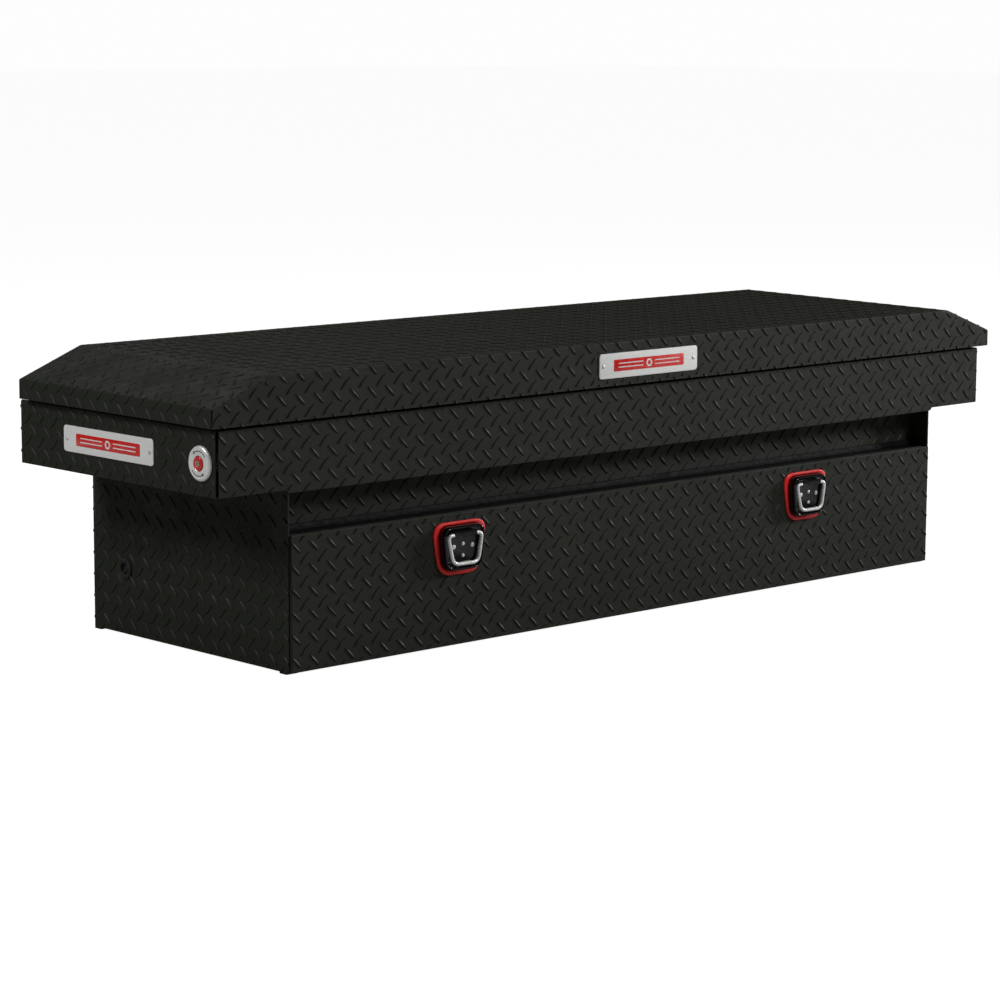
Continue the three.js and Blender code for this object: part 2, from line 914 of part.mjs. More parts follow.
// ---- Locks in the tray ends ----
function lockEscutcheon(side) {
  const { escutcheonRadius, escutcheonProud, sleeveRadius, sleeveEndX, boreRadius } = LOCK;
  const back = TRAY.halfLength + GAP;
  const face = TRAY.halfLength + escutcheonProud;
  const profile = [
    [boreRadius, sleeveEndX],
    [sleeveRadius, sleeveEndX],
    [sleeveRadius, back],
    [escutcheonRadius, back],
    [escutcheonRadius, face - 3],
    [escutcheonRadius - 2, face - 0.8],
    [escutcheonRadius - 5, face],
    [boreRadius, face],
    [boreRadius, sleeveEndX],
  ];
  return turnedX(profile, side, LOCK.y, LOCK.z);
}

// The button slides in the escutcheon's sleeve, and its stem works the hook behind it.
function lockButton(side) {
  const { buttonRadius, buttonProud, buttonLength, stemRadius, stemEndX, plugRadius } = LOCK;
  const face = TRAY.halfLength + buttonProud;
  const plugHole = plugRadius + 0.4;
  const holeEnd = face - LOCK.plugLength - 0.5;
  const profile = [
    [0, stemEndX],
    [stemRadius, stemEndX],
    [stemRadius, face - buttonLength],
    [buttonRadius, face - buttonLength],
    [buttonRadius, face - 1.2],
    [buttonRadius - 1.2, face],
    [plugHole, face],
    [plugHole, holeEnd],
    [0, holeEnd],
  ];
  return turnedX(profile, side, LOCK.y, LOCK.z);
}

// The key plug turns inside the button. A slot across its face takes the key.
function keyPlug(side) {
  const { buttonProud, plugRadius, plugLength, plugProud } = LOCK;
  const face = TRAY.halfLength + buttonProud;
  const outer = side * (face + plugProud);
  const plug = barX(plugRadius, outer, side * (face - plugLength), LOCK.y, LOCK.z);
  const slot = { halfWidth: 0.9, halfHeight: 3.4, depth: 8 };
  const keyway = block(
    outer + side * CUT,
    outer - side * slot.depth,
    LOCK.y - slot.halfWidth,
    LOCK.y + slot.halfWidth,
    LOCK.z - slot.halfHeight,
    LOCK.z + slot.halfHeight,
  );
  return cut(plug, keyway);
}

// Two upright plates on a shelf, tied by the pin that the hook turns on.
function catchHousing(side) {
  const { outerX, innerX, plate, frontY, backY, bottomZ, topZ } = CATCH;
  const { pivotY, pivotZ, pinRadius } = CATCH;
  const shelfEnd = TRAY.halfLength - SHEET - GAP;
  const shelf = block(
    side * shelfEnd,
    side * innerX,
    frontY,
    backY,
    bottomZ,
    bottomZ + SHEET,
  );
  const tab = block(
    side * shelfEnd,
    side * (shelfEnd - SHEET),
    frontY,
    backY,
    bottomZ,
    LOCK.z - LOCK.sleeveRadius - 2,
  );
  const outer = block(side * outerX, side * (outerX - plate), frontY, backY, bottomZ, topZ);
  const inner = block(side * (innerX + plate), side * innerX, frontY, backY, bottomZ, topZ);
  const pin = barX(pinRadius, side * (outerX - 1), side * (innerX + 1), pivotY, pivotZ);
  const stemHole = barX(
    LOCK.stemRadius + 1,
    side * (outerX + CUT),
    side * (outerX - plate - CUT),
    LOCK.y,
    LOCK.z,
  );
  return joined(cut(outer, stemHole), inner, shelf, tab, pin);
}

// The hook stands beside the striker's bar. Its lower arm faces the button's stem.
function catchHook(side) {
  const { pivotY, pivotZ, hubRadius, hubBore, hookOuterX, hookInnerX, barY, barRadius } = CATCH;
  const arm = { front: -5.5, back: 4, top: 50 };
  const nose = { low: 42, reach: barY + barRadius + 1.3 - pivotY };
  const tail = { front: -18, top: 2, bottom: -9 };
  const outline = outlineShape(
    [
      [tail.front, tail.bottom],
      [hubRadius * 0.6, tail.bottom],
      [hubRadius, 0],
      [arm.back, hubRadius],
      [arm.back, arm.top],
      [arm.front, arm.top],
      [nose.reach, nose.low + 3],
      [nose.reach, nose.low],
      [arm.front, nose.low],
      [arm.front, tail.top + 2],
      [tail.front, tail.top],
    ].map(([a, b]) => [pivotY + a, pivotZ + b]),
  );
  const hook = standingY(outline, side * hookOuterX, side * hookInnerX);
  const bore = barX(
    hubBore,
    side * (hookOuterX + CUT),
    side * (hookInnerX - CUT),
    pivotY,
    pivotZ,
  );
  return cut(hook, bore);
}

// A bar between two legs that hang from the lid's inner pan.
function striker(side) {
  const { barY, barZ, barRadius, legOuterX, legInnerX, plate } = CATCH;
  const top = LID.innerPanZ - GAP;
  const leg = { halfWidth: 5, low: barZ - barRadius };
  const foot = { halfWidth: 14, thickness: 2 };
  const footPlate = block(
    side * legOuterX,
    side * legInnerX,
    barY - foot.halfWidth,
    barY + foot.halfWidth,
    top - foot.thickness,
    top,
  );
  const legs = [legOuterX, legInnerX + plate].map((x) =>
    block(
      side * x,
      side * (x - plate),
      barY - leg.halfWidth,
      barY + leg.halfWidth,
      leg.low,
      top,
    ),
  );
  const bar = barX(barRadius, side * (legOuterX - 1), side * (legInnerX + 1), barY, barZ);
  return joined(footPlate, ...legs, bar);
}

for (const { side, end } of ENDS) {
  addPart(`lock_escutcheon_${end}`, lockEscutcheon(side), CHROME);
  addPart(`lock_button_${end}`, lockButton(side), RED_PLASTIC);
  addPart(`key_plug_${end}`, keyPlug(side), ZINC);
  addPart(`catch_housing_${end}`, catchHousing(side), ZINC);
  addPart(`catch_hook_${end}`, catchHook(side), ZINC);
  addPart(`striker_${end}`, striker(side), ZINC);
}

// ---- Gas struts ----
const strutSpan = new THREE.Vector2(STRUT.lidY - STRUT.baseY, STRUT.lidZ - STRUT.baseZ);
const strutLength = strutSpan.length();
const strutDirection = strutSpan.clone().normalize();

// A round bar along the strut, between two distances from its base pivot.
function strutBar(side, radius, from, to) {
  const bar = new THREE.CylinderGeometry(radius, radius, to - from, SMALL_ROUND);
  const direction = new THREE.Vector3(0, strutDirection.x, strutDirection.y);
  bar.applyQuaternion(new THREE.Quaternion().setFromUnitVectors(Y_AXIS, direction));
  const middle = (from + to) / 2;
  return bar.translate(
    side * STRUT.x,
    STRUT.baseY + direction.y * middle,
    STRUT.baseZ + direction.z * middle,
  );
}

function strutEye(side, y, z) {
  const half = STRUT.eyeWidth / 2;
  return barX(STRUT.eyeRadius, side * (STRUT.x - half), side * (STRUT.x + half), y, z);
}

function strutCylinder(side) {
  const { cylinderRadius, cylinderStart, cylinderEnd, cylinderBore, boreStart } = STRUT;
  const tube = strutBar(side, cylinderRadius, cylinderStart, cylinderEnd);
  const neck = strutBar(side, STRUT.rodRadius, 2, cylinderStart + CUT);
  const eye = strutEye(side, STRUT.baseY, STRUT.baseZ);
  const half = STRUT.eyeWidth / 2 + CUT;
  const eyeBore = barX(
    STRUT.boreRadius,
    side * (STRUT.x - half),
    side * (STRUT.x + half),
    STRUT.baseY,
    STRUT.baseZ,
  );
  const bore = strutBar(side, cylinderBore, boreStart, cylinderEnd + CUT);
  return cut(joined(tube, neck, eye), eyeBore, bore);
}

function strutRod(side) {
  const rod = strutBar(side, STRUT.rodRadius, STRUT.rodStart, strutLength);
  return joined(rod, strutEye(side, STRUT.lidY, STRUT.lidZ));
}

// The base bracket stands on the wing floor and carries the stud that the cylinder turns on.
function strutBaseBracket(side) {
  const { bracketOuterX, bracketInnerX, baseY, baseZ, studRadius } = STRUT;
  const floor = TRAY.floorZ + SHEET + GAP;
  const halfDepth = 15;
  const aboveStud = 12;
  const plate = block(
    side * bracketOuterX,
    side * bracketInnerX,
    baseY - halfDepth,
    baseY + halfDepth,
    floor,
    baseZ + aboveStud,
  );
  const foot = block(
    side * (TRAY.halfLength - SHEET - 1),
    side * bracketInnerX,
    baseY - halfDepth,
    baseY + halfDepth,
    floor,
    floor + SHEET,
  );
  const stud = barX(
    studRadius,
    side * (bracketInnerX + CUT),
    side * (STRUT.x - STRUT.eyeWidth / 2 + 1),
    baseY,
    baseZ,
  );
  return joined(plate, foot, stud);
}

// The lid bracket hangs beside the rod's eye.
function strutLidBracket(side) {
  const { lidBracketOuterX, lidBracketInnerX, lidY, lidZ } = STRUT;
  const top = LID.innerPanZ - GAP;
  const halfDepth = 14;
  const belowEye = 9;
  const footThickness = 2;
  const plate = block(
    side * lidBracketOuterX,
    side * lidBracketInnerX,
    lidY - halfDepth,
    lidY + halfDepth,
    lidZ - belowEye,
    top,
  );
  const foot = block(
    side * lidBracketOuterX,
    side * (STRUT.x - STRUT.eyeWidth),
    lidY - halfDepth,
    lidY + halfDepth,
    top - footThickness,
    top,
  );
  return joined(plate, foot);
}

for (const { side, end } of ENDS) {
  addPart(`strut_base_bracket_${end}`, strutBaseBracket(side), ZINC);
  addPart(`strut_lid_bracket_${end}`, strutLidBracket(side), ZINC);
  addPart(`strut_cylinder_${end}`, strutCylinder(side), GLOSS_BLACK);
  addPart(`strut_rod_${end}`, strutRod(side), CHROME);
}

// ---- Nameplates ----
function nameplateShape(centreA, centreB) {
  const { length, height, radius } = NAMEPLATE;
  const [a, b] = [length / 2, height / 2];
  const shape = new THREE.Shape();
  shape.absarc(centreA + a - radius, centreB - b + radius, radius, -Math.PI / 2, 0);
  shape.absarc(centreA + a - radius, centreB + b - radius, radius, 0, Math.PI / 2);
  shape.absarc(centreA - a + radius, centreB + b - radius, radius, Math.PI / 2, Math.PI);
  shape.absarc(centreA - a + radius, centreB - b + radius, radius, Math.PI, 1.5 * Math.PI);
  shape.closePath();
  return shape;
}

for (const { side, end } of ENDS) {
  const face = TRAY.halfLength + GAP;
  addPart(
    `nameplate_${end}_end`,
    standingY(
      nameplateShape(NAMEPLATE.endY, NAMEPLATE.endZ),
      side * face,
      side * (face + NAMEPLATE.thickness),
    ),
    PLATE_METAL,
  );
}
addPart(
  "nameplate_lid",
  standingX(
    nameplateShape(NAMEPLATE.lidX, NAMEPLATE.lidZ),
    LID.frontY - GAP,
    LID.frontY - GAP - NAMEPLATE.thickness,
  ),
  PLATE_METAL,
);

// ---- Origin ----
// The frame's origin is under the middle of the whole box, whose front is set by the bails
// and whose back is set by the tray.
const foremostY = LATCH.bailY - LATCH.bailLean - LATCH.bailWire;
toolBox.position.y = -(foremostY + TRAY.rearY) / 2;

export default toolBox;
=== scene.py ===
import math

import bmesh
import bpy
import numpy as np
from mathutils import Matrix, Vector


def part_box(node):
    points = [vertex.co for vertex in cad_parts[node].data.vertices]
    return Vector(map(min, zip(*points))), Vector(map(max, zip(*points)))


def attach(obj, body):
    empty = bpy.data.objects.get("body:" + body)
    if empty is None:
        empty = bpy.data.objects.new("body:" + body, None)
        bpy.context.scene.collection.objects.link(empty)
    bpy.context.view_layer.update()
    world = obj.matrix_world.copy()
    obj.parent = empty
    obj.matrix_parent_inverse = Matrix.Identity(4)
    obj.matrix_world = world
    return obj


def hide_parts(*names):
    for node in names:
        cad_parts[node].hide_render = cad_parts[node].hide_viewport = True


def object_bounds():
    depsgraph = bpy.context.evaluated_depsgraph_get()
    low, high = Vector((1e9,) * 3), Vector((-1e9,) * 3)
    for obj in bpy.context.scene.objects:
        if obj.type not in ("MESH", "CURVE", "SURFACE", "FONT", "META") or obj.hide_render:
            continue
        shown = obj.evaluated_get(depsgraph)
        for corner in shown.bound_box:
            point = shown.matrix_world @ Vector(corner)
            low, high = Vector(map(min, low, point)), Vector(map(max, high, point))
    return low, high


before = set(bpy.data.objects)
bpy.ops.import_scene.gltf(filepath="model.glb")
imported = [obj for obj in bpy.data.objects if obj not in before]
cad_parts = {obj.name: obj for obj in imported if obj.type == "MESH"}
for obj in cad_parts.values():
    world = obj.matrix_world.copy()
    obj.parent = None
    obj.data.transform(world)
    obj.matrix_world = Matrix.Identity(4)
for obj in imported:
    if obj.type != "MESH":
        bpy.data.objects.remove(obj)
CAD_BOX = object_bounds()
MM = 0.001
BODY, LID, DOOR = "box_body", "lid", "door"
ENDS = ((-1, "left"), (1, "right"))
X_AXIS = (1, 0, 0)


def box(node):
    """The low and high corners of a CAD node's box, in millimetres."""
    low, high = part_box(node)
    return low / MM, high / MM


def mid(node):
    """The centre of a CAD node's box, in millimetres."""
    return tuple((a + b) / 2 for a, b in zip(*box(node)))


# ---- materials
MIX_A, MIX_B, MIX_OUT = 6, 7, 2  # the colour sockets of a Mix node


def shader(name, color, rough, metal=0.0, vary=0.2, coarse=60, grain=700, bump=0.05,
           rough_vary=0.12, crest_wear_and_highlight=None, streak=None, coat=0.0, specular=0.5):
    """A procedural surface: colour mottled by noise, fine grain in the bump, uneven roughness.
    coarse and grain are noise scales, streak scales the noise along each axis, and the colour given
    for the crests of tread bars paints them lighter, partly as rubbed wear and partly as a painted
    highlight, and also paints shade along the bars' feet."""
    mat = bpy.data.materials.new(name)
    mat.use_nodes = True
    nodes, links = mat.node_tree.nodes, mat.node_tree.links
    bsdf = nodes["Principled BSDF"]

    def fill(node, **values):
        for socket, value in values.items():
            node.inputs[socket.replace("_", " ")].default_value = value

    fill(bsdf, Metallic=metal, Specular_IOR_Level=specular, Coat_Weight=coat, Coat_Roughness=0.12)
    where = nodes.new("ShaderNodeTexCoord").outputs["Object"]
    if streak:
        mapping = nodes.new("ShaderNodeMapping")
        fill(mapping, Scale=streak)
        links.new(where, mapping.inputs["Vector"])
        where = mapping.outputs["Vector"]

    def noise(scale, detail):
        node = nodes.new("ShaderNodeTexNoise")
        fill(node, Scale=scale, Detail=detail, Roughness=0.6)
        links.new(where, node.inputs["Vector"])
        return node.outputs["Fac"]

    def spread(value, start, stop, low=0.0, high=1.0):
        """value, with start to stop spread over low to high."""
        node = nodes.new("ShaderNodeMapRange")
        fill(node, From_Min=start, From_Max=stop, To_Min=low, To_Max=high)
        links.new(value, node.inputs["Value"])
        return node.outputs["Result"]

    def times(tint, factor):
        node = nodes.new("ShaderNodeMix")
        node.data_type, node.blend_type = "RGBA", "MULTIPLY"
        fill(node, Factor=1.0)
        links.new(tint, node.inputs[MIX_A])
        links.new(factor, node.inputs[MIX_B])
        return node.outputs[MIX_OUT]

    blotch, fine = noise(coarse, 4), noise(grain, 2)
    ramp = nodes.new("ShaderNodeValToRGB")
    for stop, position, share in zip(ramp.color_ramp.elements, (0.3, 0.7), (1 - vary, 1 + vary)):
        stop.position = position
        stop.color = (*(min(1, c * share) for c in color), 1)
    links.new(blotch, ramp.inputs["Fac"])
    tint = times(ramp.outputs["Color"], spread(fine, 0.25, 0.75, 1 - vary, 1 + vary))
    roughness = spread(noise(coarse * 2.3, 3), 0.3, 0.7, max(0.02, rough - rough_vary),
                       min(1.0, rough + rough_vary))
    if crest_wear_and_highlight:
        # Painted shade darkens the feet of the tread bars, where shade falls between them, and
        # their
        #         # tops are painted lighter, partly as rubbed wear and partly as a painted
        #         highlight.
        rise = nodes.new("ShaderNodeAttribute")
        rise.attribute_name = "rise"
        tint = times(tint, spread(rise.outputs["Fac"], 0.1, 0.6, 0.05))
        # The lighter crests: rubbed wear in noisy patches, which also serves as a painted
        # highlight.
        crest_wear_and_highlight_mask = nodes.new("ShaderNodeMath")
        crest_wear_and_highlight_mask.operation = "MULTIPLY"
        links.new(spread(rise.outputs["Fac"], 0.62, 0.95), crest_wear_and_highlight_mask.inputs[0])
        links.new(spread(noise(55, 3), 0.25, 0.55), crest_wear_and_highlight_mask.inputs[1])
        crest_wear_and_highlight_mix = nodes.new("ShaderNodeMix")
        crest_wear_and_highlight_mix.data_type = "RGBA"
        crest_wear_and_highlight_mix.inputs[MIX_B].default_value = (*crest_wear_and_highlight, 1)
        links.new(crest_wear_and_highlight_mask.outputs[0], crest_wear_and_highlight_mix.inputs["Factor"])
        links.new(tint, crest_wear_and_highlight_mix.inputs[MIX_A])
        tint = crest_wear_and_highlight_mix.outputs[MIX_OUT]
        smoother = nodes.new("ShaderNodeMath")
        smoother.operation = "MULTIPLY_ADD"
        smoother.inputs[1].default_value = -0.12
        links.new(crest_wear_and_highlight_mask.outputs[0], smoother.inputs[0])
        links.new(roughness, smoother.inputs[2])
        roughness = smoother.outputs[0]
    links.new(tint, bsdf.inputs["Base Color"])
    links.new(roughness, bsdf.inputs["Roughness"])
    relief = nodes.new("ShaderNodeBump")
    fill(relief, Strength=bump, Distance=0.0004)
    links.new(fine, relief.inputs["Height"])
    links.new(relief.outputs["Normal"], bsdf.inputs["Normal"])
    return mat


# The tread paint's bar crests are painted lighter, partly as wear and partly as a painted
# highlight, and its bar feet are painted darker, as painted shade.
PAINT = shader("black_tread_paint", (0.0162, 0.0188, 0.0120), 0.6, vary=0.12, coarse=7,
               grain=1500, bump=0.2, crest_wear_and_highlight=(0.046, 0.050, 0.040), specular=0.2)
# Lighter than the tread paint, on the rounded edges: partly edge wear, partly a painted highlight
# along them.
EDGE = shader("black_paint_on_edges", (0.030, 0.033, 0.027), 0.5, grain=1200, bump=0.15,
              specular=0.3)
SHEET = shader("black_sheet_paint", (0.012, 0.0125, 0.0105), 0.55, vary=0.18, coarse=9,
               grain=1300, bump=0.18, specular=0.3)
RUBBER = shader("black_rubber", (0.008, 0.008, 0.008), 0.78, vary=0.3, coarse=40, bump=0.3)
# Darker than the rubber: black rubber, made near-black as painted shade for the recess over the
# door and the door frame's shelf.
BLACK = shader("black_weather_strip", (0.0022, 0.0022, 0.0022), 0.7, vary=0.3, coarse=50,
               bump=0.2, specular=0.12)
RED_RUBBER = shader("red_rubber", (0.86, 0.020, 0.018), 0.42, vary=0.08, grain=900, bump=0.12)
RED = shader("red_plastic", (0.75, 0.015, 0.012), 0.25, vary=0.06, coarse=80, coat=0.4)
GLOSS = shader("gloss_black", (0.004, 0.004, 0.0045), 0.16, grain=500, bump=0.03,
               rough_vary=0.05, coat=0.3, specular=0.35)
CHROME = shader("chrome", (0.83, 0.83, 0.84), 0.09, metal=1.0, vary=0.04, coarse=40, grain=600,
                bump=0.02, rough_vary=0.04)
ZINC = shader("zinc_plated_steel", (0.48, 0.48, 0.47), 0.36, metal=1.0, vary=0.12, coarse=50,
              grain=500, bump=0.1, streak=(1, 6, 6))
SATIN = shader("satin_chrome", (0.92, 0.92, 0.91), 0.30, metal=0.3, vary=0.05)
PLATE = shader("nameplate_silver", (0.92, 0.92, 0.90), 0.36, metal=0.12, vary=0.05, grain=400,
               streak=(1, 1, 14))
RIVET = shader("rivet_grey", (0.74, 0.74, 0.74), 0.38, metal=0.35, vary=0.12, coarse=90,
               bump=0.15)
MARK = shader("dark_mark", (0.02, 0.02, 0.022), 0.5, coarse=90)
STRUT = shader("strut_black", (0.012, 0.012, 0.012), 0.28, bump=0.06)
BRASS = shader("lock_cylinder", (0.70, 0.62, 0.47), 0.3, metal=1.0, vary=0.1, coarse=90,
               grain=600, bump=0.15)
PAINTED = [PAINT, EDGE]


# ---- pieces
def piece(name, mesh, body, mats, replaces=(), angle=35):
    """Puts a mesh in the scene, smooth across edges of less than angle degrees."""
    obj = bpy.data.objects.new(name, mesh)
    bpy.context.scene.collection.objects.link(obj)
    for mat in mats:
        mesh.materials.append(mat)
    mesh.shade_smooth()
    mesh.set_sharp_from_angle(angle=math.radians(angle))
    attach(obj, body)
    if replaces:
        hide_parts(*replaces)
    return obj


def outward(bm):
    bmesh.ops.recalc_face_normals(bm, faces=bm.faces)
    if bm.calc_volume(signed=True) < 0:
        bmesh.ops.reverse_faces(bm, faces=bm.faces)


def cad_copy(node):
    """A CAD node's solid, with its flat faces whole again."""
    bm = bmesh.new()
    bm.from_mesh(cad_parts[node].data)
    bmesh.ops.remove_doubles(bm, verts=bm.verts, dist=2e-6)
    bmesh.ops.dissolve_limit(bm, angle_limit=math.radians(1.0), verts=bm.verts, edges=bm.edges)
    outward(bm)
    return bm


def sharp(limit):
    """Picks edges whose faces turn by more than limit degrees."""
    return lambda e: e.calc_face_angle(0) > math.radians(limit)


def edge_near(axis, value, tol=0.6):
    """Picks edges that lie at value millimetres on an axis."""
    k = "xyz".index(axis)
    return lambda e: all(abs(v.co[k] / MM - value) < tol for v in e.verts)


def both(*tests):
    return lambda e: all(test(e) for test in tests)


def round_edges(bm, width, keep, segments, mat=-1):
    """Rounds the edges that keep(edge) picks, by width millimetres."""
    edges = [e for e in bm.edges if len(e.link_faces) == 2 and keep(e)]
    if edges:
        bmesh.ops.bevel(bm, geom=edges, offset=width * MM, segments=segments, affect="EDGES",
                        profile=0.5, clamp_overlap=True, material=mat)


FLAT = 0.6  # the rise of the sheet itself, between a bar's foot, 0, and its crest, 1


def set_rise(mesh, rise):
    mesh.attributes.new("rise", "FLOAT", "POINT").data.foreach_set("value",
                                                                   rise.astype(np.float32))


def into_object(bm, name, body, mats, replaces, angle=35, extra=None):
    """Turns bm into a piece, with the tread bars of extra, a (vertices, faces, rise), added."""
    mesh = bpy.data.meshes.new(name)
    bm.to_mesh(mesh)
    bm.free()
    count = len(mesh.vertices)
    rise = np.full(count, FLAT)
    if extra:
        base = np.empty(count * 3)
        mesh.vertices.foreach_get("co", base)
        verts = np.vstack([base.reshape(-1, 3), extra[0] * MM])
        faces = [tuple(p.vertices) for p in mesh.polygons]
        faces += [tuple(i + count for i in f) for f in extra[1]]
        spots = [p.material_index for p in mesh.polygons] + [0] * len(extra[1])
        bpy.data.meshes.remove(mesh)
        mesh = bpy.data.meshes.new(name)
        mesh.from_pydata(verts.tolist(), [], faces)
        mesh.polygons.foreach_set("material_index", spots)
        rise = np.concatenate([rise, extra[2]])
    set_rise(mesh, rise)
    return piece(name, mesh, body, mats, replaces, angle)


def weighted(obj):
    normals = obj.modifiers.new("even_normals", "WEIGHTED_NORMAL")
    normals.keep_sharp = True
    normals.weight = 80


BEND = 3.5  # how far the tray's rounded bends reach along each face


def refine(name, node, body, mats, width=0.5, segments=2, extra=None, bends=None):
    """A CAD solid with rounded edges, round bends where bends picks them, and tread bars."""
    bm = cad_copy(node)
    if bends:
        round_edges(bm, BEND, both(sharp(8), bends), 5)
    # The rounded edges take the second material: lighter paint, partly wear, partly a painted
    # highlight.
    round_edges(bm, width, sharp(35), segments, mat=1 if len(mats) > 1 else -1)
    weighted(into_object(bm, name, body, mats, (node,), extra=extra))


def sheet_piece(bm, name, body, replaces, thickness, width):
    """A piece of painted sheet whose outer surface is bm, its cut edges rounded by width."""
    obj = into_object(bm, name, body, PAINTED, replaces, 40)
    solid = obj.modifiers.new("sheet", "SOLIDIFY")
    solid.thickness, solid.offset, solid.use_even_offset = thickness * MM, -1, True
    soft = obj.modifiers.new("edges", "BEVEL")
    soft.width, soft.segments = width * MM, 2
    # The rounded cut edges take the second material: lighter paint, partly wear, partly a painted
    # highlight.
    soft.limit_method, soft.angle_limit, soft.material = "ANGLE", math.radians(50), 1
    weighted(obj)


def bars_piece(name, body, bars):
    """The tread bars of a sheet, as a piece of their own."""
    verts, faces, rise = bars
    mesh = bpy.data.meshes.new(name)
    mesh.from_pydata((verts * MM).tolist(), [], faces)
    set_rise(mesh, rise)
    piece(name, mesh, body, [PAINT], (), 50)


def closed(name, shells, body, mat, replaces=(), angle=35):
    """A piece from closed shells, (vertices, faces) in millimetres, each turned to face out."""
    whole = bmesh.new()
    for verts, faces in shells:
        shell = bmesh.new()
        made = [shell.verts.new([c * MM for c in v]) for v in verts]
        for face in faces:
            shell.faces.new([made[i] for i in face])
        bmesh.ops.remove_doubles(shell, verts=shell.verts, dist=1e-7)
        outward(shell)
        part = bpy.data.meshes.new("part")
        shell.to_mesh(part)
        shell.free()
        whole.from_mesh(part)
        bpy.data.meshes.remove(part)
    mesh = bpy.data.meshes.new(name)
    whole.to_mesh(mesh)
    whole.free()
    piece(name, mesh, body, [mat], replaces, angle)


# ---- shapes
def loft(rings, capped=True):
    """Quads between closed rings of equal length, with one face over each end if capped."""
    n = len(rings[0])
    verts = [p for ring in rings for p in ring]
    faces = []
    for k in range(len(rings) - 1):
        for i in range(n):
            j = (i + 1) % n
            faces.append((k * n + i, k * n + j, (k + 1) * n + j, (k + 1) * n + i))
    if capped:
        faces.append(tuple(reversed(range(n))))
        faces.append(tuple(range((len(rings) - 1) * n, len(rings) * n)))
    return verts, faces


def hoop(rings):
    """A loft whose last ring joins the first."""
    return loft(rings + [rings[0]], False)


def around(sides):
    """The cosine and sine of evenly spaced angles."""
    return [(math.cos(t), math.sin(t)) for t in [2 * math.pi * i / sides for i in range(sides)]]


def turned(profile, centre, axis, sides=48, capped=True):
    """A turned solid: profile holds (radius, distance along axis) from centre."""
    a = Vector(axis).normalized()
    u = a.orthogonal().normalized()
    v = a.cross(u)
    c = Vector(centre)
    smallest = 0.001  # in place of a radius of 0
    return loft([[c + a * d + (u * cos + v * sin) * max(r, smallest) for cos, sin in around(sides)]
                 for r, d in profile], capped)


def tube(points, radius, sides):
    """A round bar along a list of points, with domed ends."""
    pts = [Vector(p) for p in points]
    rings = []
    up = None
    for i, p in enumerate(pts):
        d = (pts[min(i + 1, len(pts) - 1)] - pts[max(i - 1, 0)]).normalized()
        if up is None:
            up = d.orthogonal().normalized()
        up = (up - d * up.dot(d)).normalized()
        side = d.cross(up)
        rings.append([p + (up * cos + side * sin) * radius for cos, sin in around(sides)])
    first, last = rings[0], rings[-1]
    d0, d1 = (pts[0] - pts[1]).normalized(), (pts[-1] - pts[-2]).normalized()
    for share, reach in ((0.8, 0.45), (0.4, 0.6)):
        rings.insert(0, [pts[0] + (q - pts[0]) * share + d0 * radius * reach for q in first])
        rings.append([pts[-1] + (q - pts[-1]) * share + d1 * radius * reach for q in last])
    return loft(rings)


def slab(x0, x1, y0, y1, z0, z1):
    verts = [(x, y, z) for x in (x0, x1) for y in (y0, y1) for z in (z0, z1)]
    return verts, [(0, 1, 3, 2), (4, 6, 7, 5), (0, 4, 5, 1), (2, 3, 7, 6), (0, 2, 6, 4),
                   (1, 5, 7, 3)]


def dome(centre, axis, radius, height):
    """A rivet's head, its foot 0.3 mm inside the surface it stands on."""
    profile = [(radius, -0.3), (radius, 0.0), (radius * 0.92, height * 0.45),
               (radius * 0.72, height * 0.8), (radius * 0.4, height * 0.96), (0, height)]
    return turned(profile, centre, axis, 20)


def rounded(before, corner, after, reach, steps):
    """Points on a curve that cuts a corner from reach before it to reach after it."""
    p = corner + (before - corner).normalized() * reach
    q = corner + (after - corner).normalized() * reach
    return [p * (1 - t) ** 2 + corner * 2 * t * (1 - t) + q * t * t
            for t in [k / steps for k in range(steps + 1)]]


def round_rectangle(x0, x1, v0, v1, radius):
    out = []
    for cx, cv, start in ((x1 - radius, v0 + radius, -90), (x1 - radius, v1 - radius, 0),
                          (x0 + radius, v1 - radius, 90), (x0 + radius, v0 + radius, 180)):
        for k in range(7):
            t = math.radians(start + 90 * k / 6)
            out.append((cx + radius * math.cos(t), cv + radius * math.sin(t)))
    return out


# ---- tread bars
PITCH = 35.6  # the spacing of each of the two grids of bars
BAR, WIDE, RISE = 26.8, 6.2, 1.8  # a bar's length, width and height
SUNK = -0.12  # where a bar's foot ends inside the sheet, as a share of its height
SLIVER = 1.5  # a bar that reaches less than this into a sheet is left out
HIDDEN = 7  # and so is one centred further than this inside a cover
NEAR, PRESSED = 6, 0.6  # as near as this to a cover, a bar is pressed down to this height
# Where each sheet was cut from the pattern, in the sheet's own coordinates.
PHASES = {"lid": (24.3, 11.5), "tray_front": (24, 0), "door": (20.2, 1), "neck": (9.3, 14.7),
          "tray_end": (5, 3.4), "side": (5, 2.1)}


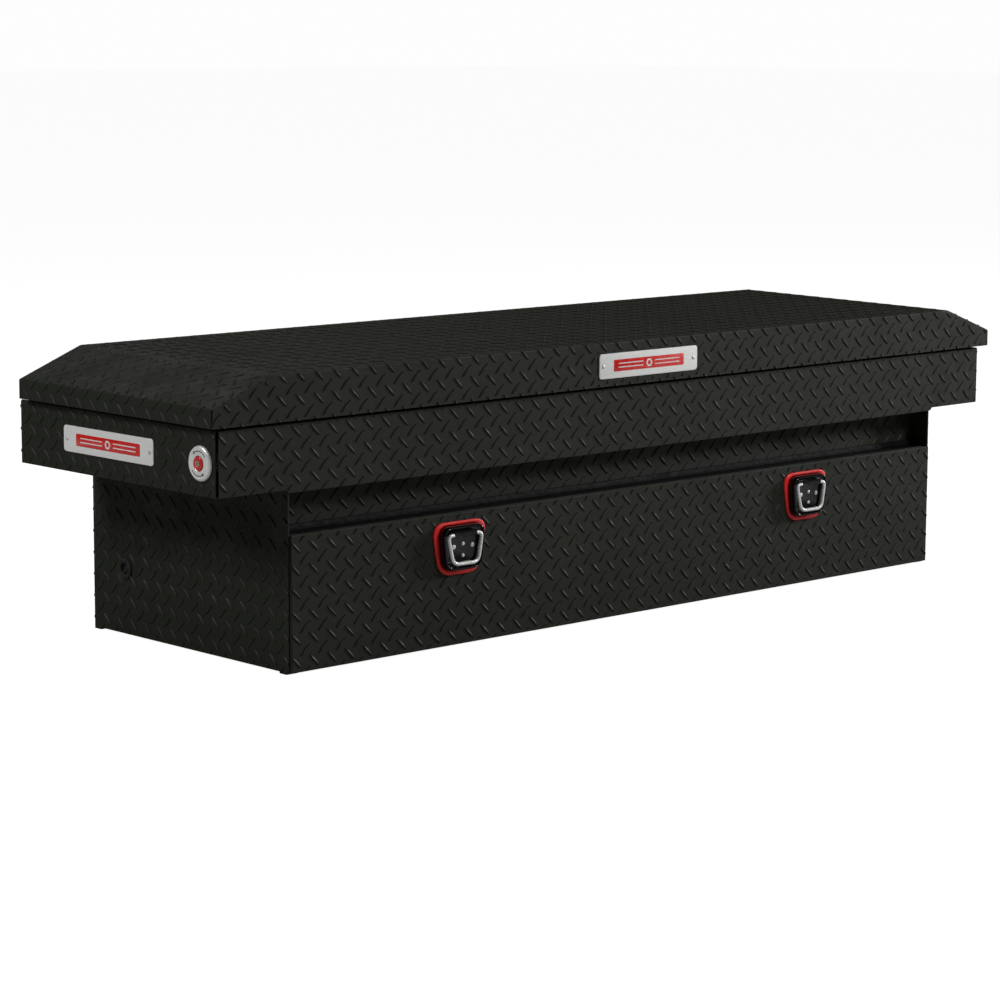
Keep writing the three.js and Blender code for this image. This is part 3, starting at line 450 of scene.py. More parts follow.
def bar_template():
    """The vertices and faces of a bar along X, and each vertex's rise."""
    half, across = 4, 5  # stations from the middle to a tip, and points across the bar
    cross = [(-1, SUNK), (-0.52, 0.5), (0, 1.0), (0.52, 0.5), (1, SUNK)]
    verts, rise = [(-BAR / 2, 0, SUNK * RISE)], [0]
    for k in range(1 - half, half):
        t = math.sin(math.pi / 2 * k / half)
        width = (1 - abs(t) ** 2.3) * WIDE / 2
        height = RISE * (1 - 0.35 * t * t)
        for s, h in cross:
            verts.append((t * BAR / 2, s * width, h * height))
            rise.append(max(0, h))
    verts.append((BAR / 2, 0, SUNK * RISE))
    rise.append(0)
    rows = [[1 + k * across + i for i in range(across)] for k in range(2 * half - 1)]
    tip = len(verts) - 1
    faces = []
    for i in range(across - 1):
        faces.append((0, rows[0][i + 1], rows[0][i]))
        faces.append((tip, rows[-1][i], rows[-1][i + 1]))
    for row, after in zip(rows, rows[1:]):
        for i in range(across - 1):
            faces.append((row[i], row[i + 1], after[i + 1], after[i]))
    faces.append((0, *(row[0] for row in rows), tip, *(row[-1] for row in rows[::-1])))
    return np.array(verts), faces, np.array(rise)


BAR_VERTS, BAR_FACES, BAR_RISE = bar_template()


def lattice(us, vs, phase):
    """Centres and directions of the bars over a rectangle: two grids, half a pitch apart."""
    found = []
    for kind, shift in ((1, 0.0), (-1, 0.5)):
        pu, pv = phase[0] + shift * PITCH, phase[1] + shift * PITCH
        for i in range(math.floor((min(us) - pu) / PITCH) - 1,
                       math.ceil((max(us) - pu) / PITCH) + 2):
            for j in range(math.floor((min(vs) - pv) / PITCH) - 1,
                           math.ceil((max(vs) - pv) / PITCH) + 2):
                found.append((pu + i * PITCH, pv + j * PITCH, kind * math.pi / 4))
    return found


def clip_bars(verts, faces, rise, outline):
    """Cuts bars, in sheet coordinates, along the sides of a convex outline."""
    bm = bmesh.new()
    layer = bm.verts.layers.float.new("rise")
    made = []
    for v, r in zip(verts, rise):
        q = bm.verts.new(v)
        q[layer] = r
        made.append(q)
    for f in faces:
        bm.faces.new([made[i] for i in f])
    for i, corner in enumerate(outline):
        a, b = Vector((*corner, 0)), Vector((*outline[(i + 1) % len(outline)], 0))
        d = (b - a).normalized()
        bmesh.ops.bisect_plane(bm, geom=bm.verts[:] + bm.edges[:] + bm.faces[:], dist=1e-5,
                               plane_co=a, plane_no=Vector((d.y, -d.x, 0)), clear_outer=True)
        rim = [e for e in bm.edges if e.is_boundary]
        if rim:
            bmesh.ops.holes_fill(bm, edges=rim, sides=0)
    bm.verts.index_update()
    out = (np.array([v.co[:] for v in bm.verts]).reshape(-1, 3),
           [tuple(v.index for v in f.verts) for f in bm.faces],
           np.array([v[layer] for v in bm.verts]))
    bm.free()
    return out


def stacked(sets):
    """Sets of (vertices, faces, rise) as one."""
    faces, start = [], 0
    for verts, polygons, _ in sets:
        faces += [tuple(i + start for i in face) for face in polygons]
        start += len(verts)
    return np.vstack([s[0] for s in sets]), faces, np.concatenate([s[2] for s in sets])


def tread(outline, place, phase, skip=()):
    """The bars of one sheet. outline is convex and anticlockwise in sheet coordinates, place maps
    arrays u, v, h to points, and skip lists rectangles (u0, u1, v0, v1) that something covers."""
    edges = []
    for i in range(len(outline)):
        a, b = np.array(outline[i], float), np.array(outline[(i + 1) % len(outline)], float)
        d = (b - a) / np.linalg.norm(b - a)
        edges.append((a, np.array([-d[1], d[0]])))
    inside, across = [], []
    for cu, cv, angle in lattice(*zip(*outline), phase):
        if any(u0 + HIDDEN < cu < u1 - HIDDEN and v0 + HIDDEN < cv < v1 - HIDDEN
               for u0, u1, v0, v1 in skip):
            continue
        c, s = math.cos(angle), math.sin(angle)
        bar = BAR_VERTS.copy()
        bar[:, 0], bar[:, 1] = (cu + BAR_VERTS[:, 0] * c - BAR_VERTS[:, 1] * s,
                                cv + BAR_VERTS[:, 0] * s + BAR_VERTS[:, 1] * c)
        u, v = bar[:, 0], bar[:, 1]
        for u0, u1, v0, v1 in skip:
            # A bar that runs in under a plate or a gasket is pressed flat there.
            under = (u > u0 - NEAR) & (u < u1 + NEAR) & (v > v0 - NEAR) & (v < v1 + NEAR)
            bar[under, 2] = np.minimum(bar[under, 2], PRESSED)
        depth = np.min([(bar[:, :2] - a) @ n for a, n in edges], axis=0)
        if depth.max() >= SLIVER:
            (inside if depth.min() > 0 else across).append(bar)
    sets = []
    for bars in filter(None, (inside, across)):
        verts = np.vstack(bars)
        faces = [tuple(i + k * len(BAR_VERTS) for i in f) for k in range(len(bars))
                 for f in BAR_FACES]
        rise = np.tile(BAR_RISE, len(bars))
        if bars is across:
            verts, faces, rise = clip_bars(verts, faces, rise, outline)
        sets.append((place(verts[:, 0], verts[:, 1], verts[:, 2]), faces, rise))
    return stacked(sets)


def on_front(y):
    """Sheet coordinates (x, z) on a plane that faces -Y."""
    return lambda u, v, h: np.stack([u, y - h, v], 1)


def on_back(y):
    """Sheet coordinates (-x, z) on a plane that faces +Y."""
    return lambda u, v, h: np.stack([-u, y + h, v], 1)


def on_end(x, side):
    """Sheet coordinates (y, z) on a plane that faces outwards along X."""
    return lambda u, v, h: np.stack([x + side * h, side * u, v], 1)


def rectangle(u0, u1, v0, v1):
    return [(u0, v0), (u1, v0), (u1, v1), (u0, v1)]


def bent_path(corners, reach):
    """Points, normals (to the left of travel) and lengths along a line whose corners are rounded
    from reach before each one to reach after it."""
    pts, nrm = [], []
    corners = [np.array(c, float) for c in corners]
    for i, c in enumerate(corners):
        if i in (0, len(corners) - 1):
            d = corners[1] - c if i == 0 else c - corners[i - 1]
            d /= np.linalg.norm(d)
            pts.append(c)
            nrm.append(np.array([-d[1], d[0]]))
            continue
        a, b = c - corners[i - 1], corners[i + 1] - c
        a, b = a / np.linalg.norm(a), b / np.linalg.norm(b)
        turn = math.atan2(a[0] * b[1] - a[1] * b[0], a @ b)
        radius = reach / math.tan(abs(turn) / 2)
        n0 = np.array([-a[1], a[0]])
        centre = c - a * reach + n0 * radius * math.copysign(1, turn)
        for k in range(7):
            t = turn * k / 6
            n = np.array([n0[0] * math.cos(t) - n0[1] * math.sin(t),
                          n0[0] * math.sin(t) + n0[1] * math.cos(t)])
            pts.append(centre - n * radius * math.copysign(1, turn))
            nrm.append(n)
    pts, nrm = np.array(pts), np.array(nrm)
    run = np.concatenate([[0], np.cumsum(np.linalg.norm(np.diff(pts, axis=0), axis=1))])
    return pts, nrm, run


def along(path, run, h):
    """Points at a distance along a path and a height above it."""
    pts, nrm, length = path
    p = [np.interp(run, length, pts[:, k]) for k in (0, 1)]
    n = [np.interp(run, length, nrm[:, k]) for k in (0, 1)]
    size = np.hypot(*n)
    return p[0] + n[0] / size * h, p[1] + n[1] / size * h


# ---- lid skin
low, high = box("lid_shell")
HALF, SKIRT = high.x, low.z  # half the lid's length, and the height of its lower edge
FRONT, REAR = box("lid_front_panel")[0].y, box("lid_rear_panel")[1].y
CREASE, TOP = SKIRT + 29.5, SKIRT + 72.5  # where the end slopes start, and the flat top
INSET = 118.0  # the length of an end slope along X
GROWTH = 0.07  # how much higher the lid is at its rear than at its front
FILLET = 2.4  # how far the lid's rounded bends reach along each face
TAKEN = (2 - math.pi / 2) * FILLET  # what a right-angled bend takes off the sheet's length
LID_LINE = [(-HALF, SKIRT), (-HALF, CREASE), (-HALF + INSET, TOP), (HALF - INSET, TOP),
            (HALF, CREASE), (HALF, SKIRT)]


def raised(p):
    """The lid's height grows evenly from its front to its rear."""
    p = np.array(p, float)
    share = (p[:, 1] - FRONT) / (REAR - FRONT)
    p[:, 2] = SKIRT + (p[:, 2] - SKIRT) * (1 + GROWTH * share)
    return p


def round_bends(bm, reach, segments):
    """Rounds all bends of an open sheet drawn in millimetres, and scales it to metres."""
    bends = [e for e in bm.edges if len(e.link_faces) == 2]
    bmesh.ops.bevel(bm, geom=bends, offset=reach, segments=segments, affect="EDGES", profile=0.5)
    for v in bm.verts:
        v.co *= MM
    return bm


def lid_skin():
    """The lid's outer surface, open below, with rounded bends and open seams at its corners."""
    bm = bmesh.new()
    f, r = ([bm.verts.new((x, y, z)) for x, z in LID_LINE] for y in (FRONT, REAR))
    bm.faces.new(f)
    bm.faces.new(r[::-1])
    for i in (1, 2, 3):
        bm.faces.new((f[i], r[i], r[i + 1], f[i + 1]))
    seam, slit = 3.6, 1.2  # the width of the corner seams, and how far they stop below the crease
    for i in (1, 4):
        x, z = LID_LINE[i]
        skirt = [bm.verts.new((x, *yz)) for yz in
                 ((FRONT + seam, z - slit), (FRONT + seam, SKIRT), (REAR - seam, SKIRT),
                  (REAR - seam, z - slit))]
        loop = [f[i], *skirt, r[i]]
        bm.faces.new(loop if i == 1 else loop[::-1])
    bmesh.ops.recalc_face_normals(bm, faces=bm.faces)
    top = next(x for x in bm.faces if all(abs(v.co.z - TOP) < 1 for v in x.verts))
    if top.normal.z < 0:
        bmesh.ops.reverse_faces(bm, faces=bm.faces)
    for v in bm.verts:
        v.co = raised([v.co[:]])[0]
    return round_bends(bm, FILLET, 4)


def lid_bars():
    wide = HALF - INSET
    ends = bent_path(LID_LINE, FILLET)
    flat = bent_path([(FRONT, SKIRT), (FRONT, TOP), (REAR, TOP), (REAR, SKIRT)], FILLET)
    middle = ends[2][-1] / 2
    drop = TOP - SKIRT - TAKEN
    band = 16  # the strips along the front and rear edges have bars of their own

    def pressed(u, v, h):
        # The press brake flattens the bars that lie on and next to the end and rear bends.
        away = np.minimum(np.abs(REAR - v) / 30, np.abs(np.abs(u) - wide) / 14)
        return h * (0.2 + 0.8 * np.clip(away - 0.1, 0, 1))

    def over_ends(u, v, h):
        x, z = along(ends, u + middle, pressed(u, v, h))
        return raised(np.stack([x, v, z], 1))

    def over_front(u, v, h):
        y, z = along(flat, v - FRONT + drop, pressed(u, v, h))
        return raised(np.stack([u, y, z], 1))

    def faces_front(u, v, h):
        return raised(np.stack([u, FRONT - h, TOP - TAKEN - (FRONT - v)], 1))

    def faces_back(u, v, h):
        return raised(np.stack([u, REAR + h, TOP - TAKEN - (v - REAR)], 1))

    # The top, the slopes and the end skirts.
    areas = [(rectangle(-middle, middle, FRONT + band, REAR - band), over_ends)]
    for v0, v1 in ((FRONT + FILLET, FRONT + band), (REAR - band, REAR - FILLET)):
        for u0, u1 in ((-middle, -wide), (wide, middle)):
            areas.append((rectangle(u0, u1, v0, v1), over_ends))
    # The flat top's front and rear edges, wrapped over the bend.
    for edge in (FRONT, REAR):
        areas.append((rectangle(-wide, wide, edge - band, edge + band), over_front))
    # The front and rear faces, and the slanted corners beside them.
    a, b = box("nameplate_lid")
    plate = (a.x, b.x, FRONT - (TOP - TAKEN - a.z), FRONT - (TOP - TAKEN - b.z))
    for place, edge, sign, skip in ((faces_front, FRONT, -1, [plate]), (faces_back, REAR, 1, [])):
        v0, v1 = sorted((edge + sign * band, edge + sign * drop))
        areas.append((rectangle(-wide, wide, v0, v1), place, skip))
        near, bend, far = (edge + sign * v for v in (4, TOP - CREASE + 2, drop))
        for side in (-1, 1):
            shape = [(side * wide, near), (side * (HALF - 1), bend), (side * (HALF - 1), far),
                     (side * wide, far)]
            areas.append((shape if side == sign else shape[::-1], place))
    return stacked([tread(outline, place, PHASES["lid"], *skip) for outline, place, *skip in areas])


sheet_piece(lid_skin(), "lid_skin", LID, ("lid_shell", "lid_front_panel", "lid_rear_panel"),
            2.5, 0.5)
bars_piece("lid_tread_bars", LID, lid_bars())

# ---- tray and lower body sheets
RIM = 0.6  # how far the bars stop short of a sheet's edge
BELOW_BEND = 4  # how far they stop short of a rounded bend


def panel(name, node, bars=None, bends=None):
    refine(name, node, BODY, PAINTED, extra=bars, bends=bends)


def end_face(node, side):
    """The x of a panel's outer face, and its first and last u."""
    low, high = box(node)
    return (high.x, low.y, high.y) if side > 0 else (low.x, -high.y, -low.y)


low, high = box("tray_front_panel")
step = box("lower_right_side")[1].x
panel("tray_front", "tray_front_panel",
      stacked([tread(area, on_front(low.y), PHASES["tray_front"]) for area in (
          rectangle(low.x + RIM, high.x - RIM, low.z + 5.6, high.z - BELOW_BEND),
          rectangle(-step, step, low.z + 0.5, low.z + 5.6))]),
      both(edge_near("z", high.z), edge_near("y", low.y)))
low, high = box("tray_rear_panel")
panel("tray_rear", "tray_rear_panel",
      tread(rectangle(-high.x + RIM, high.x - RIM, low.z + RIM, high.z - BELOW_BEND),
            on_back(high.y), PHASES["tray_front"]),
      both(edge_near("z", high.z), edge_near("y", high.y)))
for side, end in ENDS:
    low, high = box(f"tray_{end}_end")
    x, u0, u1 = end_face(f"tray_{end}_end", side)
    covers = [box(f"nameplate_{end}_end"), box(f"lock_escutcheon_{end}")]
    skip = [(*sorted((side * a.y, side * b.y)), a.z, b.z) for a, b in covers]
    panel(f"tray_end_{end}", f"tray_{end}_end",
          tread(rectangle(u0 + RIM, u1 - RIM, low.z + RIM, high.z - BELOW_BEND), on_end(x, side),
                PHASES["tray_end"], skip),
          both(edge_near("z", high.z), edge_near("x", x)))
    x, u0, u1 = end_face(f"lower_{end}_side", side)
    top = box(f"wing_floor_{end}")[0].z
    panel(f"lower_side_{end}", f"lower_{end}_side",
          tread(rectangle(u0 + RIM, u1 - RIM, 3.6, top - 1), on_end(x, side), PHASES["side"]))
low, high = box("lower_rear_panel")
panel("lower_rear", "lower_rear_panel",
      tread(rectangle(-high.x + RIM, high.x - RIM, low.z + RIM, high.z - RIM), on_back(high.y),
            PHASES["door"]))
low, high = box("neck_front_panel")
panel("neck_front", "neck_front_panel",
      tread(rectangle(low.x + RIM, high.x - RIM, low.z + 8, high.z - RIM), on_front(low.y),
            PHASES["neck"]))
for node in ("wing_floor_left", "wing_floor_right", "front_ledge", "floor_pan"):
    panel(node + "_sheet", node)
# The door frame is near-black, darker than the paint, as painted shade over its shelf in the
# recess.
refine("door_frame_sheet", "door_frame", BODY, [BLACK, EDGE], 0.6)
refine("lid_stiffener_beam", "lid_stiffener", LID, [SHEET, EDGE], 0.6)

# The weather strip along the foot of the recess, over the door; its near-black colour is painted
# # shade of the recess.
shelf = box("door_frame")[1].z
profile = [(0.3, 0), (7, 0), (8, 0.8), (7.6, 2.2), (5.6, 3), (4.6, 5), (4.6, 7.6), (3.8, 8.8),
           (2.4, 9.2), (0.3, 9.2)]
closed("recess_weather_strip",
       [loft([[(x, low.y - out, shelf + up + 0.2) for out, up in profile]
              for x in np.linspace(low.x + 1, high.x - 1, 12)])],
       BODY, BLACK, (), 40)

# ---- door
low, high = box("door_panel")
DOOR_Y = low.y


def door_sheet():
    """The door's outer sheet, its top and end edges returned towards the frame."""
    bm = bmesh.new()
    corners = [(low.x, low.z), (high.x, low.z), (high.x, high.z), (low.x, high.z)]
    front, rear = ([bm.verts.new((x, y, z)) for x, z in corners] for y in (low.y, high.y + 2.6))
    bm.faces.new(front)
    for i in (1, 2, 3):
        j = (i + 1) % 4
        bm.faces.new((front[i], rear[i], rear[j], front[j]))
    bmesh.ops.recalc_face_normals(bm, faces=bm.faces)
    face = min(bm.faces, key=lambda f: f.calc_center_median().y)
    if face.normal.y > 0:
        bmesh.ops.reverse_faces(bm, faces=bm.faces)
    return round_bends(bm, 1.8, 3)


sheet_piece(door_sheet(), "door_skin", DOOR, ("door_panel",), 2.4, 0.4)
skip = [(a.x + 6, b.x - 6, a.z + 6, b.z - 6) for a, b in
        (box(f"latch_gasket_{end}") for _, end in ENDS)]
bars_piece("door_tread_bars", DOOR,
           tread(rectangle(low.x + 2, high.x - 2, low.z + RIM, high.z - 2), on_front(low.y),
                 PHASES["door"], skip))
refine("door_liner", "door_inner_pan", DOOR, [SHEET, EDGE], 0.8)


# ---- latches
def trapezoid(x, top, bottom, low_z, high_z, radius, inset=0.0):
    """A rounded trapezoid in (x, z), wider at the top, anticlockwise from the lower left."""
    corners = [Vector(c) for c in (
        (x - bottom + inset, low_z + inset), (x + bottom - inset, low_z + inset),
        (x + top - inset, high_z - inset), (x - top + inset, high_z - inset))]
    reach = max(radius - inset, 1.0)
    return [(w.x, w.y) for i, c in enumerate(corners)
            for w in rounded(corners[i - 1], c, corners[(i + 1) % 4], reach, 7)]


def ring_at(outline, y):
    return [(a, y, b) for a, b in outline]


def mix(a, b, t):
    return [(p[0] * (1 - t) + q[0] * t, p[1] * (1 - t) + q[1] * t) for p, q in zip(a, b)]


HOUSING = dict(top=46, bottom=38.5, low_z=125, high_z=197, radius=19)
GASKET = dict(top=59.5, bottom=43.5, low_z=116.7, high_z=202.6, radius=27)
GASKET_DEEP = 3.2
PIVOT_Z, WIRE = 183.0, 3.0  # the height of the bail's pivot, and the wire's radius
for _, end in ENDS:
    x, back = mid(f"latch_housing_{end}")[0], box(f"latch_housing_{end}")[1].y
    face = DOOR_Y - 16.5
    dish = face + 6.0
    outer, inside = trapezoid(x, **GASKET), trapezoid(x, inset=-0.4, **HOUSING)
    closed(f"latch_gasket_ring_{end}",
           [hoop([ring_at(mix(outer, inside, t), back - GASKET_DEEP * deep) for t, deep in
                  ((0.0, 0), (0.0, 0.45), (0.05, 0.8), (0.16, 1), (0.85, 1), (0.97, 0.8),
                   (1.0, 0))])],
           DOOR, RED_RUBBER, (f"latch_gasket_{end}",), 50)

    # The housing: its wall, a quarter-round lip, and a shallow dish.
    levels = [(0, back), (0, face + 8)]
    levels += [(3.1 * (1 - math.cos(t)), face + 8 - 8 * math.sin(t))
               for t in [math.pi / 2 * k / 8 for k in range(1, 9)]]
    levels += [(inset, face + deep) for inset, deep in ((3.5, 0.1), (3.9, 0.5), (4.2, 1.2),
                                                        (4.4, 2.4), (4.7, 4.4), (5.2, 5.5),
                                                        (6.2, 6.0))]
    shells = [loft([ring_at(trapezoid(x, inset=inset, **HOUSING), y) for inset, y in levels])]
    bail_y = box(f"latch_bail_{end}")[1].y - WIRE
    shells.append(turned([(2.7, -24), (3.2, -23.5), (3.2, 23.5), (2.7, 24)],
                         (x, bail_y, PIVOT_Z), X_AXIS, 24))
    # The moulded saddle round the pivot bar.
    saddle = [(dish + 0.2, 4.6), (bail_y - 1.2, 4.2), (bail_y - 2.6, 2.6), (bail_y - 2.6, -2.2),
              (bail_y - 1.0, -3.8), (dish + 0.2, -4.4)]
    shells.append(loft([[(x + u, y, PIVOT_Z + up) for y, up in saddle]
                        for u in (-22.6, -21.8, 21.8, 22.6)]))
    closed(f"latch_body_{end}", shells, DOOR, GLOSS, (f"latch_housing_{end}",), 40)
    rivets = [dome((x + u, dish, z), (0, -1, 0), r, 1.5) for u, z, r in
              ((-20, 163.2, 4), (20, 163.2, 4), (0, 167, 3.2), (0, 148.3, 3.2))]
    closed(f"latch_rivets_{end}", rivets, DOOR, RIVET, (), 40)

    # The bail: a bent wire whose ends turn in along the pivot.
    lean = 2.0
    spots = [Vector((x + u, bail_y - away, z)) for u, away, z in
             ((-24.5, 0, PIVOT_Z), (-36.4, 0, PIVOT_Z), (-26.6, lean, 136.5),
              (26.6, lean, 136.5), (36.4, 0, PIVOT_Z), (24.5, 0, PIVOT_Z))]
    path = [spots[0]]
    for before, spot, after, reach in zip(spots, spots[1:], spots[2:], (9.5, 12.0, 12.0, 9.5)):
        path += rounded(before, spot, after, reach, 8)
    path.append(spots[-1])
    closed(f"bail_wire_{end}", [tube(path, WIRE, 18)], f"latch_bail_{end}", SATIN,
           (f"latch_bail_{end}",), 50)
    refine(f"slam_bolt_block_{end}", f"slam_bolt_{end}", f"slam_bolt_{end}", [ZINC],
           0.6)

# ---- locks
for side, end in ENDS:
    _, y, z = mid(f"lock_button_{end}")
    wall = abs(end_face(f"tray_{end}_end", side)[0])
    axis = (side, 0, 0)
    here = (0, y, z)
    ring = [(11.5, 874), (19, 874), (19, wall + 0.3), (26.2, wall + 0.3), (27, wall + 0.9),
            (27, wall + 2.2), (26.6, wall + 3.2), (25.4, wall + 4.5), (23.6, wall + 5.3),
            (21.6, wall + 5.5), (14.6, wall + 5.5), (13.6, wall + 5.9), (12.6, wall + 5.9),
            (11.7, wall + 5.2), (11.5, 874)]
    closed(f"lock_ring_{end}", [turned(ring, here, axis, 72, False)], BODY, SATIN,
           (f"lock_escutcheon_{end}",), 40)

    # The two turn marks: an arc with an arrow head each.
    def marked(r, t, h):
        return side * (wall + 5.45 + h), y + side * r * math.cos(t), z + r * math.sin(t)

    marks = []
    for start, stop in ((35, 120), (215, 300)):
        arc = np.radians(np.linspace(start, stop, 14))
        marks.append(loft([[marked(r, t, h) for r, h in
                            ((18.3, 0.0), (18.3, 0.18), (19.7, 0.18), (19.7, 0.0))] for t in arc]))
        head = ((16.6, arc[-1]), (21.4, arc[-1]), (19.0, arc[-1] + 0.26))
        marks.append(loft([[marked(r, t, h) for r, t in head] for h in (0.0, 0.18)]))
    closed(f"lock_marks_{end}", marks, BODY, MARK, (), 30)

    face = wall + 7.5
    body = f"lock_button_{end}"
    profile = [(0, 868.5), (3.6, 868.5), (4, 869), (4, face - 22), (10.4, face - 22),
               (10.8, face - 21.4), (10.8, face - 1.6), (10.5, face - 0.7), (9.9, face - 0.1),
               (9.3, face), (8.5, face), (8.2, face - 0.4), (7.5, face - 0.4), (7.2, face),
               (5.9, face), (5.45, face - 0.4), (5.4, face - 17.5), (0, face - 17.5)]
    closed(f"button_{end}", [turned(profile, here, axis, 56)], body, RED, (body,),
           40)
    refine(f"plug_{end}", f"key_plug_{end}", f"key_plug_{end}", [BRASS], 0.25)
    for name, node, body in (("catch_plates", "catch_housing", BODY),
                             ("catch_claw", "catch_hook", f"catch_hook_{end}"),
                             ("striker_loop", "striker", LID),
                             ("strut_foot", "strut_base_bracket", BODY),
                             ("strut_ear", "strut_lid_bracket", LID)):
        refine(f"{name}_{end}", f"{node}_{end}", body, [ZINC], 0.35)

# ---- gas struts
STRUT_X, STRUT_FOOT_Z, STRUT_TIP_Z = 855, 305, 384
for side, end in ENDS:
    base = Vector((side * STRUT_X, mid(f"strut_base_bracket_{end}")[1], STRUT_FOOT_Z))
    tip = Vector((side * STRUT_X, mid(f"strut_lid_bracket_{end}")[1], STRUT_TIP_Z))
    d = (tip - base).normalized()
    length = (tip - base).length
    barrel = [(0, 12.6), (5.2, 12.6), (5.6, 13.2), (5.6, 16), (8.2, 17.2), (9, 19), (9, 139),
              (8.6, 140.4), (8.0, 141.2), (8.0, 143.2), (8.6, 144), (9, 145.4), (9, 148.6),
              (8.2, 150), (4.7, 150), (4.7, 36), (0, 36)]
    eye = [(7.2, -6.5), (8, -5.8), (8, 5.8), (7.2, 6.5)]
    open_eye = turned([(4.4, -6.5), *eye, (4.4, 6.5), (4.4, -6.5)], base, X_AXIS, 28, False)
    stem = turned([(3.6, 7.4), (3.6, 14)], base, d, 20)
    closed(f"strut_barrel_{end}", [turned(barrel, base, d, 36), open_eye, stem],
           f"strut_cylinder_{end}", STRUT, (f"strut_cylinder_{end}",), 40)
    rod = turned([(0, 42), (3.4, 42), (4, 42.8), (4, length - 7.4)], base, d, 28)
    solid_eye = turned([(0, -6.5), *eye, (0, 6.5)], tip, X_AXIS, 28)
    closed(f"strut_piston_{end}", [rod, solid_eye], f"strut_rod_{end}", CHROME,
           (f"strut_rod_{end}",), 40)

# ---- grommet and seals
wall = -box("lower_left_side")[0].x
profile = [(0, -4.8), (15.4, -4.8), (16, -4.2), (16, -3.0), (13, -2.8), (13, 0.3), (17.4, 0.3),
           (18, 0.9), (17.9, 1.9), (17.0, 3.0), (15.4, 3.6), (12.6, 3.7), (10.6, 3.3), (9.4, 2.4),
           (9, 1.2), (9, -1.4), (8.4, -2.0), (5.0, -2.2), (4.6, -1.4), (0, -1.2)]
closed("grommet_plug",
       [turned([(r, wall + out) for r, out in profile], (0, *mid("cable_grommet")[1:]),
               (-1, 0, 0), 56)],
       BODY, RUBBER, ("cable_grommet",), 50)

# A bulb seal's section: inset from the outer edge, and share of the height.
BULB = [(0.2, 0), (0.2, 0.16), (1.6, 0.24), (1.0, 0.5), (1.6, 0.78), (3.2, 0.95), (5, 1),
        (6.8, 0.95), (8.4, 0.78), (9.0, 0.5), (8.4, 0.24), (9.8, 0.16), (9.8, 0)]
for name, node, flat in (("tray_rim_bulb", "rim_seal", True), ("door_bulb", "door_seal", False)):
    a, b = box(node)
    rings = []
    for inset, share in BULB:
        v0, v1 = (a.y, b.y) if flat else (a.z, b.z)
        line = round_rectangle(a.x + inset, b.x - inset, v0 + inset, v1 - inset, 14 - inset)
        rings.append([(u, v, a.z + (b.z - a.z) * share) if flat else
                      (u, b.y - (b.y - a.y) * share, v) for u, v in line])
    closed(name, [hoop(rings)], BODY, RUBBER, (node,), 50)


# ---- hinges
HINGE_Y, HINGE_Z = mid("lid_hinge_pin")[1:]
KNUCKLE, BORE = 5.5, 2.9  # the radii of a knuckle and of its bore
KNUCKLE_PITCH, KNUCKLE_GAP = 40.0, 0.25


def piano_leaf(name, node, body, first, plate, web):
    """One leaf of the lid's piano hinge, with a knuckle at every other place from first on."""
    a, b = box(node)
    count = max(3, int(round((b.x - a.x) / KNUCKLE_PITCH)))
    step = (b.x - a.x) / count
    shells = [slab(a.x, b.x, *plate)]
    for i in range(first, count, 2):
        s, e = a.x + i * step + KNUCKLE_GAP, a.x + (i + 1) * step - KNUCKLE_GAP
        profile = [(BORE, s), (KNUCKLE - 0.3, s), (KNUCKLE, s + 0.3), (KNUCKLE, e - 0.3),
                   (KNUCKLE - 0.3, e), (BORE, e), (BORE, s)]
        shells.append(turned(profile, (0, HINGE_Y, HINGE_Z), X_AXIS, 18, False))
        shells.append(slab(s, e, *web))
    closed(name, shells, body, ZINC, (node,))


a, b = box("hinge_leaf_tray")
piano_leaf("tray_hinge_leaf", "hinge_leaf_tray", BODY, 0, (a.y, HINGE_Y - 6.5, a.z, a.z + 2),
           (HINGE_Y - 7.5, HINGE_Y - 3.4, a.z, a.z + 2))
top = box("hinge_leaf_lid")[1].z
piano_leaf("lid_hinge_leaf", "hinge_leaf_lid", LID, 1,
           (REAR + 0.3, REAR + 2.6, HINGE_Z + 6.5, top),
           (REAR + 0.3, HINGE_Y - 4.5, HINGE_Z + 0.6, HINGE_Z + 7.5))
closed("lid_hinge_rivets",
       [dome((x, REAR + 2.6, HINGE_Z + 25), (0, 1, 0), 4.2, 1.6)
        for x in np.linspace(-830, 830, 13)],
       LID, ZINC, (), 40)
a, b = box("lid_hinge_pin")
closed("lid_hinge_rod",
       [turned([(0, a.x), (2.0, a.x), (2.5, a.x + 0.6), (2.5, b.x - 0.6), (2.0, b.x), (0, b.x)],
               (0, HINGE_Y, HINGE_Z), X_AXIS, 20)],
       BODY, ZINC, ("lid_hinge_pin",))
for name, node, body in (("door_hinge_leaf_sheet", "door_hinge_leaf", DOOR),
                         ("frame_hinge_leaf_sheet", "frame_hinge_leaf", BODY),
                         ("door_hinge_rod", "door_hinge_pin", BODY)):
    refine(name, node, body, [ZINC], 0.12, 1)


